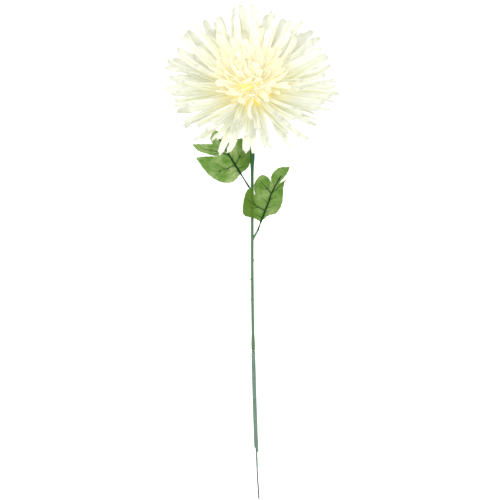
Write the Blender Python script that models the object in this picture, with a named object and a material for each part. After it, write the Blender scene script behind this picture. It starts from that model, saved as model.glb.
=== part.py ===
"""A single artificial chrysanthemum with long strap petals, cut and lying on a surface.

The flower lies along Y with its head towards +Y, and +Z is up. The surface is Z = 0, and the origin
is on it, under the middle of the flower's length and width. Sizes here are in millimetres, and a
mesh is scaled to metres when it is made.
"""

import math
import random
from types import SimpleNamespace

import bmesh
import bpy
from mathutils import Matrix, Vector
from mathutils.geometry import delaunay_2d_cdt

MM = 0.001
GAP = 0.3  # clearance between neighbouring pieces
SHARP_ANGLE = math.radians(40.0)

# Line of the stem, from the wire's cut end up to the neck
WIRE_END_Y = -279.5
SLEEVE_END_Y = -227.0
SLEEVE_TOP_Y = -115.0
NECK_START_Y = 104.0
STEM_X = 0.6
WIRE_END_SWAY = 7.2  # how far the wire's end stands off the straight stem
STEM_SLOPE = 0.054  # rise of the stem towards the head
STEM_STEP = 16.0  # spacing of the points along it
NECK_RUN = 30.0  # how far the neck keeps the stem's direction, and then the head's
NECK_RISE = 10.0
NECK_STEPS = 7

# Radii along the stem
WIRE_RADIUS = 0.8
WIRE_COAT_RADIUS = 1.0
WIRE_COAT_END_Y = -243.5
BORE_RADIUS = 1.12
SLEEVE_RADIUS = 2.25
SLEEVE_BORE_RADIUS = 1.35
STEM_RADIUS = 1.65
STEM_FLARE_RADIUS = 2.1
STEM_GROOVE_RADIUS = 1.7
NECK_RADIUS = 2.8
NECK_PEG_RADIUS = 1.6
NECK_PEG_LENGTH = 8.3
LEAF_PEG_RADII = (1.3, 1.0)
EDGE_STEP = 0.1  # length of a sharp step in radius

# The stem's radius at places along Y: two grooves at its foot, a flare over them, one at the neck
STEM_PROFILE = (
    (SLEEVE_TOP_Y + GAP, STEM_GROOVE_RADIUS),
    (SLEEVE_TOP_Y + 1.3, STEM_GROOVE_RADIUS),
    (SLEEVE_TOP_Y + 1.3 + EDGE_STEP, STEM_FLARE_RADIUS),
    (SLEEVE_TOP_Y + 2.4, STEM_FLARE_RADIUS),
    (SLEEVE_TOP_Y + 2.4 + EDGE_STEP, STEM_GROOVE_RADIUS),
    (SLEEVE_TOP_Y + 3.6, STEM_GROOVE_RADIUS),
    (SLEEVE_TOP_Y + 3.6 + EDGE_STEP, STEM_FLARE_RADIUS),
    (SLEEVE_TOP_Y + 11.0, STEM_FLARE_RADIUS),
    (SLEEVE_TOP_Y + 20.0, STEM_RADIUS),
    (NECK_START_Y - 22.0, STEM_RADIUS),
    (NECK_START_Y - 13.0, STEM_RADIUS + 0.2),
    (NECK_START_Y - 2.0, NECK_RADIUS),
    (NECK_START_Y, NECK_RADIUS),
)

# Small scars left on the stem: place along Y, side towards X, radius
STEM_SCARS = ((-11.8, 1.0, 1.1), (-33.0, -1.0, 1.4), (-55.4, -1.0, 1.0))
SCAR_SINK = 0.3  # how deep a scar's middle lies in the stem
SCAR_STRETCH = 1.3
SCAR_END_RADIUS = 0.3

# Sleeve and coated wire
PINCH_Y = SLEEVE_TOP_Y - 7.3
PINCH_HALF_LENGTH = 0.7
PINCH_DEPTH = 0.35
SLEEVE_FOOT_CHAMFER = 0.5
WIRE_COAT_TOP_Y = SLEEVE_TOP_Y - 2.0
COAT_TAPER = 0.5
BORE_OVERRUN = 2.0  # how far a bore's cutter stands out past the tube

# Head: its centre, and the lean of its axis away from straight up, towards +Y
HEAD_CENTRE = Vector((-1.9, 177.5, 50.0))
HEAD_LEAN = math.radians(48.0)
HEAD_SEED = 14

# Rings of petals. A pair is the value at the family's outermost ring and at its innermost one.
# Angles are degrees from the head's axis, so 90 stands straight out; turns, sweeps and rolls are radians.
RAYS = SimpleNamespace(
    rings=7,
    count=(18, 15),
    start_angle=(86.0, 66.0),
    end_angle=(96.0, 52.0),
    length=(92.0, 91.0),
    width=(10.4, 9.8),
    root_height=(-8.0, -2.0),
    root_radius=(4.0, 4.0),
    upper_side_opening=(0.0, 27.0),  # rings open wider on the side that faces up
    under_side_closing=(0.0, 8.0),  # and less wide on the side that lies on the surface
    upper_side_shortening=(0.0, 0.28),
    first_turn=0.12,
    ring_turn=0.3,
    length_range=(0.88, 1.04),
    width_range=(0.8, 1.15),
    sweep=0.2,
    roll=0.5,
    twist=0.5,
    first_level=0.0,
    steps_ringed=(0, 6, 12, 18, 22),
    in_heart=False,
)
HEART = SimpleNamespace(
    rings=6,
    count=(16, 7),
    start_angle=(60.0, 22.0),
    end_angle=(39.0, 6.0),
    length=(54.0, 40.0),
    width=(8.6, 7.4),
    root_height=(9.0, 14.0),
    root_radius=(4.0, 1.0),
    upper_side_opening=(15.0, 0.0),
    under_side_closing=(0.0, 0.0),
    upper_side_shortening=(0.0, 0.0),
    first_turn=0.0,
    ring_turn=0.5,
    length_range=(0.85, 1.08),
    width_range=(0.85, 1.15),
    sweep=0.3,
    roll=0.35,
    twist=0.4,
    first_level=0.5,
    steps_ringed=(0, 9, 17, 22),
    in_heart=True,
)
PLACE_SPREAD = 0.3  # of the spacing in a ring
BEND_SPREAD = 5.0
ROOT_OPENING = 0.6  # share of a ring's opening that is there at the root
LEVEL_STEP = 1.4  # each next ring lies this much higher where it meets the surface or the bowl
LEVEL_STAGGER = 0.25  # and every other petal in it this share higher

# The one thin petal that stands out past the others
LONG_PETAL = SimpleNamespace(
    azimuth=math.radians(187.5),
    start_angle=62.0,
    end_angle=49.0,
    length=104.0,
    width=5.4,
    sweep=0.0,
    roll=0.2,
    twist=0.5,
    root_height=-2.0,
    root_radius=3.5,
    level=0.0,
    steps_ringed=RAYS.steps_ringed,
    in_heart=False,
)

# Petal blade: widths are shares of the petal's width, places are shares of its length
PETAL_THICKNESS = 1.0
PETAL_CHANNEL = 0.16  # rise of the two edges
PETAL_ROOT_WIDTH = 0.42
PETAL_WIDEST_FROM = 0.62
PETAL_TIP_FROM = 0.72
PETAL_TIP_ROUNDNESS = 2.6
PETAL_BEND_LATE = 1.4  # above 1 the bend is nearer the tip
PETAL_STEPS = 24  # only some steps get a ring of vertices, and the tip is one point

# Bowl that parts the ray petals from the heart petals, measured along the head's axis
BOWL_FLOOR_HEIGHT = 2.15
BOWL_FLOOR_RADIUS = 11.0
BOWL_ANGLE = math.radians(48.0)
BOWL_FRONT_OPENING = math.radians(9.0)
RAY_CLEARANCE = 0.9  # how far a ray petal's upper face keeps under the bowl

# Turned pieces of the head: radius and height along the head's axis
HEAD_SIDES = 20
POST_RADIUS = 2.5
POST_TOP = 7.7
HUB_BORE_RADIUS = POST_RADIUS + GAP
CALYX_BASE = -27.0
CALYX_RIM = -12.3

# Leaves and their ribs
LEAF_THICKNESS = 0.7
LEAF_GRID = 7.0  # spacing of the points inside a blade
LEAF_GRID_ROW = 0.87  # row spacing of an even triangle grid, as a share of it
LEAF_GRID_CLEAR = 0.45  # no grid point lies nearer than this share to the edge or a rib
LEAF_GRID_REACH = 9
EDGE_PARTS = 3  # points along each stretch of a leaf's edge
RIPPLE_LENGTH = 7.0
RIPPLE_START = 14.0  # the ripple is full at this distance from the midrib
STALK_RADII = (1.0, 0.9)
STALK_STRAIGHT = 4.0
MIDRIB_RADII = (0.75, 0.45)
SIDE_RIB_RADII = (0.5, 0.42, 0.35)

FRONT = Vector((0.0, -math.cos(HEAD_LEAN), math.sin(HEAD_LEAN)))
AXIS = Vector((0.0, math.sin(HEAD_LEAN), math.cos(HEAD_LEAN)))
RIGHT = Vector((1.0, 0.0, 0.0))


def between(pair, share):
    """The value at a share of the way from the first of a pair to the second."""
    return pair[0] + (pair[1] - pair[0]) * share


def make_material(name, colour, roughness, metallic=0.0):
    """A Principled material with a colour given as sRGB bytes."""
    material = bpy.data.materials.new(name)
    material.use_nodes = True
    shader = material.node_tree.nodes["Principled BSDF"]
    linear = [((byte / 255 + 0.055) / 1.055) ** 2.4 for byte in colour]
    shader.inputs["Base Color"].default_value = (*linear, 1.0)
    shader.inputs["Roughness"].default_value = roughness
    shader.inputs["Metallic"].default_value = metallic
    material.diffuse_color = (*linear, 1.0)
    return material


def make_object(name, data):
    """Links a mesh or a curve as a new object of the scene."""
    thing = bpy.data.objects.new(name, data)
    bpy.context.scene.collection.objects.link(thing)
    return thing


def mesh_from(name, vertices, faces):
    """A closed triangle mesh in metres, from points in millimetres, facing outwards."""
    shape = bmesh.new()
    made = [shape.verts.new(Vector(v) * MM) for v in vertices]
    for face in faces:
        shape.faces.new([made[i] for i in face])
    bmesh.ops.triangulate(shape, faces=shape.faces)
    bmesh.ops.recalc_face_normals(shape, faces=shape.faces)
    mesh = bpy.data.meshes.new(name)
    shape.to_mesh(mesh)
    shape.free()
    return mesh


def settle(thing):
    """Replaces an object's mesh or curve by its evaluated mesh."""
    graph = bpy.context.evaluated_depsgraph_get()
    mesh = bpy.data.meshes.new_from_object(thing.evaluated_get(graph))
    if thing.type == "MESH":
        thing.modifiers.clear()
        thing.data = mesh
        return thing
    name = thing.name
    bpy.data.objects.remove(thing)
    return make_object(name, mesh)


def combine(body, pieces, operation):
    """Joins the pieces to a body, or cuts them from it, with one Boolean on a collection of them."""
    group = bpy.data.collections.new(body.name + "_pieces")
    bpy.context.scene.collection.children.link(group)
    for piece in pieces:
        bpy.context.scene.collection.objects.unlink(piece)
        group.objects.link(piece)
    boolean = body.modifiers.new("Combine", "BOOLEAN")
    boolean.operation = operation
    boolean.operand_type = "COLLECTION"
    boolean.collection = group
    boolean.solver = "EXACT"
    settle(body)
    for piece in pieces:
        bpy.data.objects.remove(piece)
    bpy.data.collections.remove(group)
    return body


def keep_outer_shell(thing):
    """Drops loose scraps and fills sealed hollows: only the largest connected surface stays."""
    shape = bmesh.new()
    shape.from_mesh(thing.data)
    unseen = set(shape.verts)
    shells = []
    while unseen:
        shell = set()
        edge_of_search = [unseen.pop()]
        while edge_of_search:
            vertex = edge_of_search.pop()
            shell.add(vertex)
            for edge in vertex.link_edges:
                other = edge.other_vert(vertex)
                if other in unseen:
                    unseen.remove(other)
                    edge_of_search.append(other)
        shells.append(shell)
    shells.sort(key=len)
    stray = [vertex for shell in shells[:-1] for vertex in shell]
    bmesh.ops.delete(shape, geom=stray, context="VERTS")
    shape.to_mesh(thing.data)
    shape.free()
    return thing


def rod(name, points, radii, resolution):
    """A round bar along points, closed at both ends, as a mesh object."""
    curve = bpy.data.curves.new(name, "CURVE")
    curve.dimensions = "3D"
    curve.bevel_depth = MM
    curve.bevel_resolution = resolution
    curve.use_fill_caps = True
    line = curve.splines.new("POLY")
    line.points.add(len(points) - 1)
    for spot, point, radius in zip(line.points, points, radii):
        spot.co = (*(Vector(point) * MM), 1.0)
        spot.radius = radius
    return settle(make_object(name, curve))


def turned(name, profile):
    """A piece turned about the head's axis from (radius, height) points."""
    shape = bmesh.new()
    spots = [shape.verts.new((radius * MM, 0.0, height * MM)) for radius, height in profile]
    edges = [shape.edges.new(pair) for pair in zip(spots, spots[1:])]
    if profile[0][0] > 0.0:
        edges.append(shape.edges.new((spots[-1], spots[0])))
    around = {"cent": (0, 0, 0), "axis": (0, 0, 1), "angle": math.tau, "steps": HEAD_SIDES}
    bmesh.ops.spin(shape, geom=spots + edges, **around)
    bmesh.ops.remove_doubles(shape, verts=shape.verts, dist=0.01 * MM)
    bmesh.ops.recalc_face_normals(shape, faces=shape.faces)
    turn = Matrix((RIGHT, -FRONT, AXIS)).transposed().to_4x4()
    shape.transform(Matrix.Translation(HEAD_CENTRE * MM) @ turn)
    mesh = bpy.data.meshes.new(name)
    shape.to_mesh(mesh)
    shape.free()
    return make_object(name, mesh)


def finish(thing, name, material):
    """Names a piece, gives it its material and shades it smooth with sharp edges kept."""
    thing.name = name
    thing.data.name = name
    thing.data.materials.clear()
    thing.data.materials.append(material)
    thing.data.shade_smooth()
    thing.data.set_sharp_from_angle(angle=SHARP_ANGLE)
    return thing


# Stem


def stem_point(y):
    """A point on the stem's line, which sways aside towards the wire's end."""
    sway = WIRE_END_SWAY * (min(y, 0.0) / WIRE_END_Y) ** 2
    return Vector((STEM_X + sway, y, WIRE_RADIUS + STEM_SLOPE * (y - WIRE_END_Y)))


def stem_points(start, end, stops=()):
    """Points on the stem's line from start to end, with one at each stop."""
    count = round((end - start) / STEM_STEP) + 1
    places = [between((start, end), i / (count - 1)) for i in range(count)]
    places += [stop for stop in stops if start < stop < end]
    return [stem_point(y) for y in sorted(set(places))]


def neck_points():
    """The neck's bend, from the straight stem to the calyx's base."""
    start = stem_point(NECK_START_Y)
    end = HEAD_CENTRE + AXIS * (CALYX_BASE - GAP)
    run = Vector((0.0, 1.0, STEM_SLOPE)) * NECK_RUN
    rise = AXIS * NECK_RISE
    points = []
    for step in range(1, NECK_STEPS + 1):
        t = step / NECK_STEPS
        points.append(
            start * (1 - t) ** 3
            + (start + run) * 3 * t * (1 - t) ** 2
            + (end - rise) * 3 * t**2 * (1 - t)
            + end * t**3
        )
    return points


def stem_radius(y):
    """The stem's radius at a place along Y."""
    for low, high in zip(STEM_PROFILE, STEM_PROFILE[1:]):
        if y <= high[0]:
            return between((low[1], high[1]), max(0.0, (y - low[0]) / (high[0] - low[0])))
    return NECK_RADIUS


def make_stem(material):
    """Moulded stem: a tube over the wire, with a necked foot, scars, two leaf pegs and a head peg."""
    foot = SLEEVE_TOP_Y + GAP
    points = stem_points(foot, NECK_START_Y, [place for place, radius in STEM_PROFILE])
    radii = [stem_radius(point.y) for point in points]
    neck = neck_points()
    points += neck
    radii += [NECK_RADIUS] * len(neck)
    shoulder = neck[-1]
    points += [shoulder + AXIS * EDGE_STEP, shoulder + AXIS * NECK_PEG_LENGTH]
    radii += [NECK_PEG_RADIUS, NECK_PEG_RADIUS]
    stem = rod("stem", points, radii, 3)
    added = [
        rod("peg", [leaf.peg_foot, leaf.peg_tip], LEAF_PEG_RADII, 2) for leaf in (LEFT_LEAF, RIGHT_LEAF)
    ]
    for y, side, radius in STEM_SCARS:
        middle = stem_point(y) + RIGHT * side * (STEM_RADIUS - SCAR_SINK)
        along = Vector((0.0, radius * SCAR_STRETCH, 0.0))
        line = [middle - along, middle, middle + along]
        added.append(rod("scar", line, (SCAR_END_RADIUS, radius, SCAR_END_RADIUS), 1))
    combine(stem, added, "UNION")
    bore_line = stem_points(foot - BORE_OVERRUN, NECK_START_Y + GAP)
    bore = rod("bore", bore_line, [BORE_RADIUS] * len(bore_line), 2)
    combine(stem, [bore], "DIFFERENCE")
    return finish(stem, "stem", material)


def make_sleeve(material):
    """Plain tube over the lower stem, pinched once near its top and chamfered at its foot."""
    stops = (PINCH_Y - PINCH_HALF_LENGTH, PINCH_Y, PINCH_Y + PINCH_HALF_LENGTH)
    points = stem_points(SLEEVE_END_Y, SLEEVE_TOP_Y, (SLEEVE_END_Y + SLEEVE_FOOT_CHAMFER, *stops))
    radii = [SLEEVE_RADIUS - (PINCH_DEPTH if point.y == PINCH_Y else 0.0) for point in points]
    radii[0] = SLEEVE_RADIUS - SLEEVE_FOOT_CHAMFER
    sleeve = rod("sleeve", points, radii, 3)
    bore_line = stem_points(SLEEVE_END_Y - BORE_OVERRUN, SLEEVE_TOP_Y + BORE_OVERRUN)
    bore = rod("bore", bore_line, [SLEEVE_BORE_RADIUS] * len(bore_line), 2)
    combine(sleeve, [bore], "DIFFERENCE")
    return finish(sleeve, "sleeve", material)


def make_wire(material):
    """Wire core from its bare cut end, through the sleeve and up the stem to the neck."""
    coat = (WIRE_COAT_END_Y, WIRE_COAT_TOP_Y)
    stops = (coat[0] - COAT_TAPER, *coat, coat[1] + COAT_TAPER)
    points = stem_points(WIRE_END_Y, NECK_START_Y, stops)
    tolerance = COAT_TAPER / 2
    coated = [coat[0] - tolerance < point.y < coat[1] + tolerance for point in points]
    radii = [WIRE_COAT_RADIUS if inside else WIRE_RADIUS for inside in coated]
    return finish(rod("wire", points, radii, 2), "wire", material)


# Head


def make_calyx(material):
    """Green cup under the head, with a socket for the stem and a post that carries the petals."""
    socket = NECK_PEG_RADIUS + GAP
    socket_top = CALYX_BASE + NECK_PEG_LENGTH
    profile = (
        (0.0, socket_top),
        (socket, socket_top),
        (socket, CALYX_BASE),
        (3.6, CALYX_BASE),
        (4.3, -22.0),
        (9.2, -17.0),
        (12.6, -13.4),
        (12.6, CALYX_RIM),
        (POST_RADIUS, CALYX_RIM),
        (POST_RADIUS, POST_TOP - 0.6),
        (POST_RADIUS - 0.6, POST_TOP),
        (0.0, POST_TOP),
    )
    return finish(turned("calyx", profile), "calyx", material)


def petal_width(share):
    """Width of a petal along its length, as a share of its widest: narrow root, rounded tip."""
    rise = min(1.0, share / PETAL_WIDEST_FROM)
    body = between((PETAL_ROOT_WIDTH, 1.0), rise * rise * (3 - 2 * rise))
    past = max(0.0, (share - PETAL_TIP_FROM) / (1 - PETAL_TIP_FROM))
    return body * math.sqrt(max(0.0, 1 - past**PETAL_TIP_ROUNDNESS))


def petal_line(petal):
    """Point, direction across and face direction at each step along a petal's middle line."""
    point = HEAD_CENTRE + AXIS * petal.root_height
    step_length = petal.length / PETAL_STEPS
    line = []
    for step in range(PETAL_STEPS + 1):
        share = step / PETAL_STEPS
        bent = share**PETAL_BEND_LATE
        angle = math.radians(between((petal.start_angle, petal.end_angle), bent))
        around = petal.azimuth + petal.sweep * share * share
        outward = FRONT * math.cos(around) + RIGHT * math.sin(around)
        along = AXIS * math.cos(angle) + outward * math.sin(angle)
        face = AXIS * math.sin(angle) - outward * math.cos(angle)
        if step == 0:
            point = point + outward * petal.root_radius
        turn = Matrix.Rotation(petal.roll + petal.twist * share, 3, along)
        line.append((point.copy(), turn @ along.cross(face), turn @ face))
        point = point + along * step_length
    return line


def keep_off_bowl(point, petal, rise):
    """Bends a point clear of the bowl surface that parts the heart from the rays."""
    offset = point - HEAD_CENTRE
    height = offset.dot(AXIS)
    outward = offset - AXIS * height
    facing = outward.dot(FRONT) / max(outward.length, GAP)
    wall = math.tan(BOWL_ANGLE + BOWL_FRONT_OPENING * facing)
    limit = BOWL_FLOOR_HEIGHT + max(0.0, outward.length - BOWL_FLOOR_RADIUS) / wall
    if petal.in_heart:
        return point + AXIS * max(0.0, limit + petal.level + rise - height)
    return point - AXIS * max(0.0, height + PETAL_THICKNESS - rise - limit + RAY_CLEARANCE)


def lay_down(points, rises, petal):
    """Presses the outermost petals flat on the surface, and lifts the others clear of those."""
    if petal.level:
        up = max(0.0, petal.level - min(point.z for point in points))
        return [point + Vector((0.0, 0.0, up)) for point in points]
    return [Vector((point.x, point.y, max(point.z, rise))) for point, rise in zip(points, rises)]


def make_petal(petal):
    """One strap petal: a slim channelled blade with rings of four vertices and one tip point."""
    line = petal_line(petal)
    half_thickness = PETAL_THICKNESS / 2
    vertices = []
    for step in petal.steps_ringed:
        point, across, face = line[step]
        half = petal.width * petal_width(step / PETAL_STEPS) / 2
        edge_rise = face * (2 * half * PETAL_CHANNEL)
        ring = (
            point - across * half + edge_rise,
            point - face * half_thickness,
            point + across * half + edge_rise,
            point + face * half_thickness,
        )
        rises = (0.0, 0.0, 0.0, PETAL_THICKNESS)
        ring = [keep_off_bowl(spot, petal, rise) for spot, rise in zip(ring, rises)]
        vertices += lay_down(ring, rises, petal)
    tip = keep_off_bowl(line[-1][0], petal, half_thickness)
    vertices += lay_down([tip], (0.0,), petal)
    faces = [(3, 2, 1, 0)]
    last = (len(petal.steps_ringed) - 1) * 4
    for base in range(0, last, 4):
        for side in range(4):
            after = (side + 1) % 4
            faces.append((base + side, base + after, base + 4 + after, base + 4 + side))
    for side in range(4):
        faces.append((last + side, last + (side + 1) % 4, len(vertices) - 1))
    return make_object("petal", mesh_from("petal", vertices, faces))


def ring_petals(family, chance):
    """A family's petals, ring by ring, each a little off its even place."""
    petals = []
    for ring in range(family.rings):
        inner = ring / (family.rings - 1)
        count = round(between(family.count, inner))
        turn = family.first_turn + family.ring_turn * ring + math.pi / count * (ring % 2)
        for place in range(count):
            azimuth = math.tau * (place + chance.uniform(-PLACE_SPREAD, PLACE_SPREAD)) / count + turn
            upper = max(0.0, math.cos(azimuth))
            under = max(0.0, -math.cos(azimuth))
            opening = between(family.upper_side_opening, inner) * upper
            opening -= between(family.under_side_closing, inner) * under
            kept = 1 - between(family.upper_side_shortening, inner) * upper**2
            bend = chance.uniform(-BEND_SPREAD, BEND_SPREAD)
            petals.append(
                SimpleNamespace(
                    azimuth=azimuth,
                    start_angle=between(family.start_angle, inner) + opening * ROOT_OPENING,
                    end_angle=between(family.end_angle, inner) + opening + bend,
                    length=between(family.length, inner) * kept * chance.uniform(*family.length_range),
                    width=between(family.width, inner) * chance.uniform(*family.width_range),
                    sweep=chance.uniform(-family.sweep, family.sweep),
                    roll=chance.uniform(-family.roll, family.roll),
                    twist=chance.uniform(-family.twist, family.twist),
                    root_height=between(family.root_height, inner),
                    root_radius=between(family.root_radius, inner),
                    level=LEVEL_STEP * (ring + family.first_level) * (1 + LEVEL_STAGGER * (place % 2)),
                    steps_ringed=family.steps_ringed,
                    in_heart=family.in_heart,
                )
            )
    return petals


def make_ray_petals(chance, material):
    """All the ray petals, fused to a short hub that is threaded on the calyx's post."""
    profile = (
        (HUB_BORE_RADIUS, CALYX_RIM + GAP),
        (9.0, CALYX_RIM + GAP),
        (12.0, -8.5),
        (12.0, -1.0),
        (9.5, BOWL_FLOOR_HEIGHT - 0.15),
        (HUB_BORE_RADIUS, BOWL_FLOOR_HEIGHT - 0.15),
    )
    hub = turned("ray_hub", profile)
    petals = [make_petal(petal) for petal in ring_petals(RAYS, chance) + [LONG_PETAL]]
    keep_outer_shell(combine(hub, petals, "UNION"))
    return finish(hub, "ray_petals", material)


def make_heart_petals(chance, material):
    """The tuft of heart petals, fused to a domed hub that caps the post."""
    base = BOWL_FLOOR_HEIGHT + 0.15
    bore_top = POST_TOP + GAP
    profile = (
        (0.0, bore_top),
        (HUB_BORE_RADIUS, bore_top),
        (HUB_BORE_RADIUS, base),
        (5.0, base),
        (7.5, 5.5),
        (9.0, 9.0),
        (8.5, 13.0),
        (5.5, 16.5),
        (0.0, 18.0),
    )
    hub = turned("heart_hub", profile)
    petals = [make_petal(petal) for petal in ring_petals(HEART, chance)]
    keep_outer_shell(combine(hub, petals, "UNION"))
    return finish(hub, "heart_petals", material)


# Leaves. Each stretch runs from one tip or notch of the edge to the next, in millimetres from the
# leaf's base, with the points that its curve passes through. A rib is a list of points too.

LEFT_LEAF = SimpleNamespace(
    base=Vector((-12.5, 85.0, 15.0)),
    peg_foot=Vector((STEM_X, 65.5, 19.4)),
    peg_tip=Vector((-2.4, 69.0, 18.6)),
    stretches=(
        ((0.0, 0.0), (-8.6, -9.4), (-21.5, -9.6), (-36.0, -1.0), (-50.2, 17.9)),
        ((-50.2, 17.9), (-40.0, 19.0), (-25.5, 19.0)),
        ((-25.5, 19.0), (-38.6, 22.4), (-48.0, 25.8), (-54.4, 32.9)),
        ((-54.4, 32.9), (-42.0, 33.0), (-31.0, 33.0)),
        ((-31.0, 33.0), (-34.0, 40.0), (-29.2, 49.0)),
        ((-29.2, 49.0), (-18.0, 43.0), (-11.5, 31.0)),
        ((-11.5, 31.0), (-5.0, 38.0), (2.6, 39.4)),
        ((2.6, 39.4), (9.5, 30.0), (11.5, 18.0), (8.5, 7.0), (0.0, 0.0)),
    ),
    midrib=((0.0, 0.0), (-6.0, 9.5), (-12.9, 20.5), (-20.5, 33.0), (-27.0, 43.5)),
    side_ribs=(
        ((-6.0, 9.5), (-2.0, 17.0), (2.5, 24.0)),
        ((-6.0, 9.5), (-14.0, 6.0), (-21.5, 3.4)),
        ((-12.9, 20.5), (-23.0, 23.5), (-36.0, 26.5)),
    ),
    pitch=-0.10,
    droop=0.006,
    wave=1.1,
)

RIGHT_LEAF = SimpleNamespace(
    base=Vector((10.1, 30.6, 25.0)),
    peg_foot=Vector((STEM_X + 0.4, 11.0, 16.6)),
    peg_tip=Vector((6.9, 21.6, 20.6)),
    stretches=(
        ((0.0, 0.0), (-8.1, 4.6), (-18.5, 7.6), (-20.0, 18.0), (-16.2, 34.0), (-9.4, 39.4)),
        ((-9.4, 39.4), (-8.4, 34.0), (-5.9, 28.7)),
        ((-5.9, 28.7), (-7.4, 42.0), (0.0, 52.3), (7.6, 50.6), (11.6, 44.1)),
        ((11.6, 44.1), (12.4, 53.0), (20.2, 60.8), (32.6, 61.7)),
        ((32.6, 61.7), (29.0, 53.5), (20.2, 43.0)),
        ((20.2, 43.0), (27.0, 47.0), (33.9, 54.4)),
        ((33.9, 54.4), (26.2, 43.0), (24.0, 22.0), (17.6, 10.2), (8.4, 7.2), (0.0, 0.0)),
    ),
    midrib=((0.0, 0.0), (2.8, 7.0), (4.9, 13.0), (9.0, 23.0), (12.0, 32.0), (22.5, 52.0)),
    side_ribs=(
        ((4.9, 13.0), (-3.0, 17.0), (-10.0, 21.5)),
        ((12.0, 32.0), (8.0, 36.5), (3.6, 41.5)),
        ((12.0, 32.0), (17.0, 36.5), (23.0, 41.0)),
    ),
    pitch=0.06,
    droop=0.007,
    wave=1.0,
)


def curved_stretch(points):
    """Points of a smooth curve through the given ones, without the last."""
    ends = [points[0], *points, points[-1]]
    made = []
    for a, b, c, d in zip(ends, ends[1:], ends[2:], ends[3:]):
        for part in range(EDGE_PARTS):
            t = part / EDGE_PARTS
            made.append(
                Vector(
                    0.5 * (2 * q + (r - p) * t + (2 * p - 5 * q + 4 * r - s) * t**2
                           + (3 * q - p - 3 * r + s) * t**3)
                    for p, q, r, s in zip(a, b, c, d)
                )
            )
    return made


def leaf_height(leaf, x, y):
    """Height of a leaf's middle surface: pitched along the midrib, drooping and waved beside it."""
    tip = Vector(leaf.midrib[-1]).normalized()
    along = x * tip.x + y * tip.y
    aside = x * tip.y - y * tip.x
    ripple = leaf.wave * math.sin(along / RIPPLE_LENGTH) * min(1.0, abs(aside) / RIPPLE_START)
    return leaf.base.z + leaf.pitch * along - leaf.droop * aside**2 + ripple


def make_leaf(name, leaf, material):
    """A thin lobed blade, arched over its midrib, with the same triangles above and below."""
    edge = [point for stretch in leaf.stretches for point in curved_stretch(stretch)]
    inner = [Vector(point) for point in leaf.midrib[1:]]
    inner += [Vector(point) for rib in leaf.side_ribs for point in rib[1:]]
    reach = range(-LEAF_GRID_REACH, LEAF_GRID_REACH + 1)
    for column in reach:
        for row in reach:
            spot = Vector((column + row % 2 / 2, row * LEAF_GRID_ROW)) * LEAF_GRID
            if min((spot - other).length for other in edge + inner) > LEAF_GRID * LEAF_GRID_CLEAR:
                inner.append(spot)
    border = list(range(len(edge)))
    flat, _, faces, *_ = delaunay_2d_cdt(edge + inner, [], [border], 1, 0.01)
    used = sorted({i for face in faces for i in face})
    order = {old: new for new, old in enumerate(used)}
    offset = len(used)
    half = LEAF_THICKNESS / 2
    vertices = []
    for lift_by in (half, -half):
        for i in used:
            height = leaf_height(leaf, *flat[i]) + lift_by
            vertices.append((leaf.base.x + flat[i].x, leaf.base.y + flat[i].y, height))
    top = [tuple(order[i] for i in face) for face in faces]
    below = [tuple(offset + i for i in reversed(face)) for face in top]
    sides = {}
    for face in top:
        for a, b in zip(face, face[1:] + face[:1]):
            sides[(a, b)] = True
    rim = [(b, a, offset + a, offset + b) for a, b in sides if (b, a) not in sides]
    blade = make_object(name, mesh_from(name, vertices, top + below + rim))
    return finish(blade, name, material)


def rib_point(leaf, x, y, radius):
    """A point of a rib, just above the blade."""
    height = leaf_height(leaf, x, y) + LEAF_THICKNESS / 2 + GAP + radius
    return Vector((leaf.base.x + x, leaf.base.y + y, height))


def make_leaf_rib(name, leaf, material):
    """Moulded stalk and ribs that carry the blade, in one piece."""
    last = len(leaf.midrib) - 1
    radii = [between(MIDRIB_RADII, i / last) for i in range(last + 1)]
    blade_part = [rib_point(leaf, x, y, radius) for (x, y), radius in zip(leaf.midrib, radii)]
    toward_peg = (leaf.peg_tip - leaf.peg_foot).normalized()
    stalk_end = leaf.peg_tip + toward_peg * GAP
    stalk_bend = stalk_end + toward_peg * STALK_STRAIGHT
    points = [stalk_end, stalk_bend, *blade_part]
    rib = rod("rib", points, [*STALK_RADII, *radii], 1)
    side_bars = []
    for side_rib in leaf.side_ribs:
        bar = [rib_point(leaf, x, y, radius) for (x, y), radius in zip(side_rib, SIDE_RIB_RADII)]
        side_bars.append(rod("side_rib", bar, SIDE_RIB_RADII, 1))
    keep_outer_shell(combine(rib, side_bars, "UNION"))
    return finish(rib, name, material)


def build():
    for thing in list(bpy.data.objects):
        bpy.data.objects.remove(thing)
    stem_green = make_material("stem_green", (84, 130, 84), 0.5)
    sleeve_green = make_material("sleeve_grey_green", (118, 146, 128), 0.5)
    wire_grey = make_material("wire_grey", (130, 133, 132), 0.4, 1.0)
    calyx_green = make_material("calyx_green", (72, 118, 62), 0.55)
    ray_cream = make_material("ray_cream", (246, 245, 224), 0.8)
    heart_yellow = make_material("heart_yellow", (251, 243, 188), 0.8)
    leaf_green = make_material("leaf_green", (112, 148, 62), 0.75)
    rib_green = make_material("rib_green", (38, 74, 34), 0.5)
    make_stem(stem_green)
    make_sleeve(sleeve_green)
    make_wire(wire_grey)
    make_calyx(calyx_green)
    chance = random.Random(HEAD_SEED)
    make_ray_petals(chance, ray_cream)
    make_heart_petals(chance, heart_yellow)
    make_leaf("leaf_left", LEFT_LEAF, leaf_green)
    make_leaf_rib("leaf_left_rib", LEFT_LEAF, rib_green)
    make_leaf("leaf_right", RIGHT_LEAF, leaf_green)
    make_leaf_rib("leaf_right_rib", RIGHT_LEAF, rib_green)


build()
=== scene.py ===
"""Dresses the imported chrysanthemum: cloth petals and leaves, moulded stem, sleeve and wire.

The flower lies along Y with its bloom towards +Y. Lengths are in millimetres, and MM turns them into
metres where a mesh is made.
"""

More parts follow.
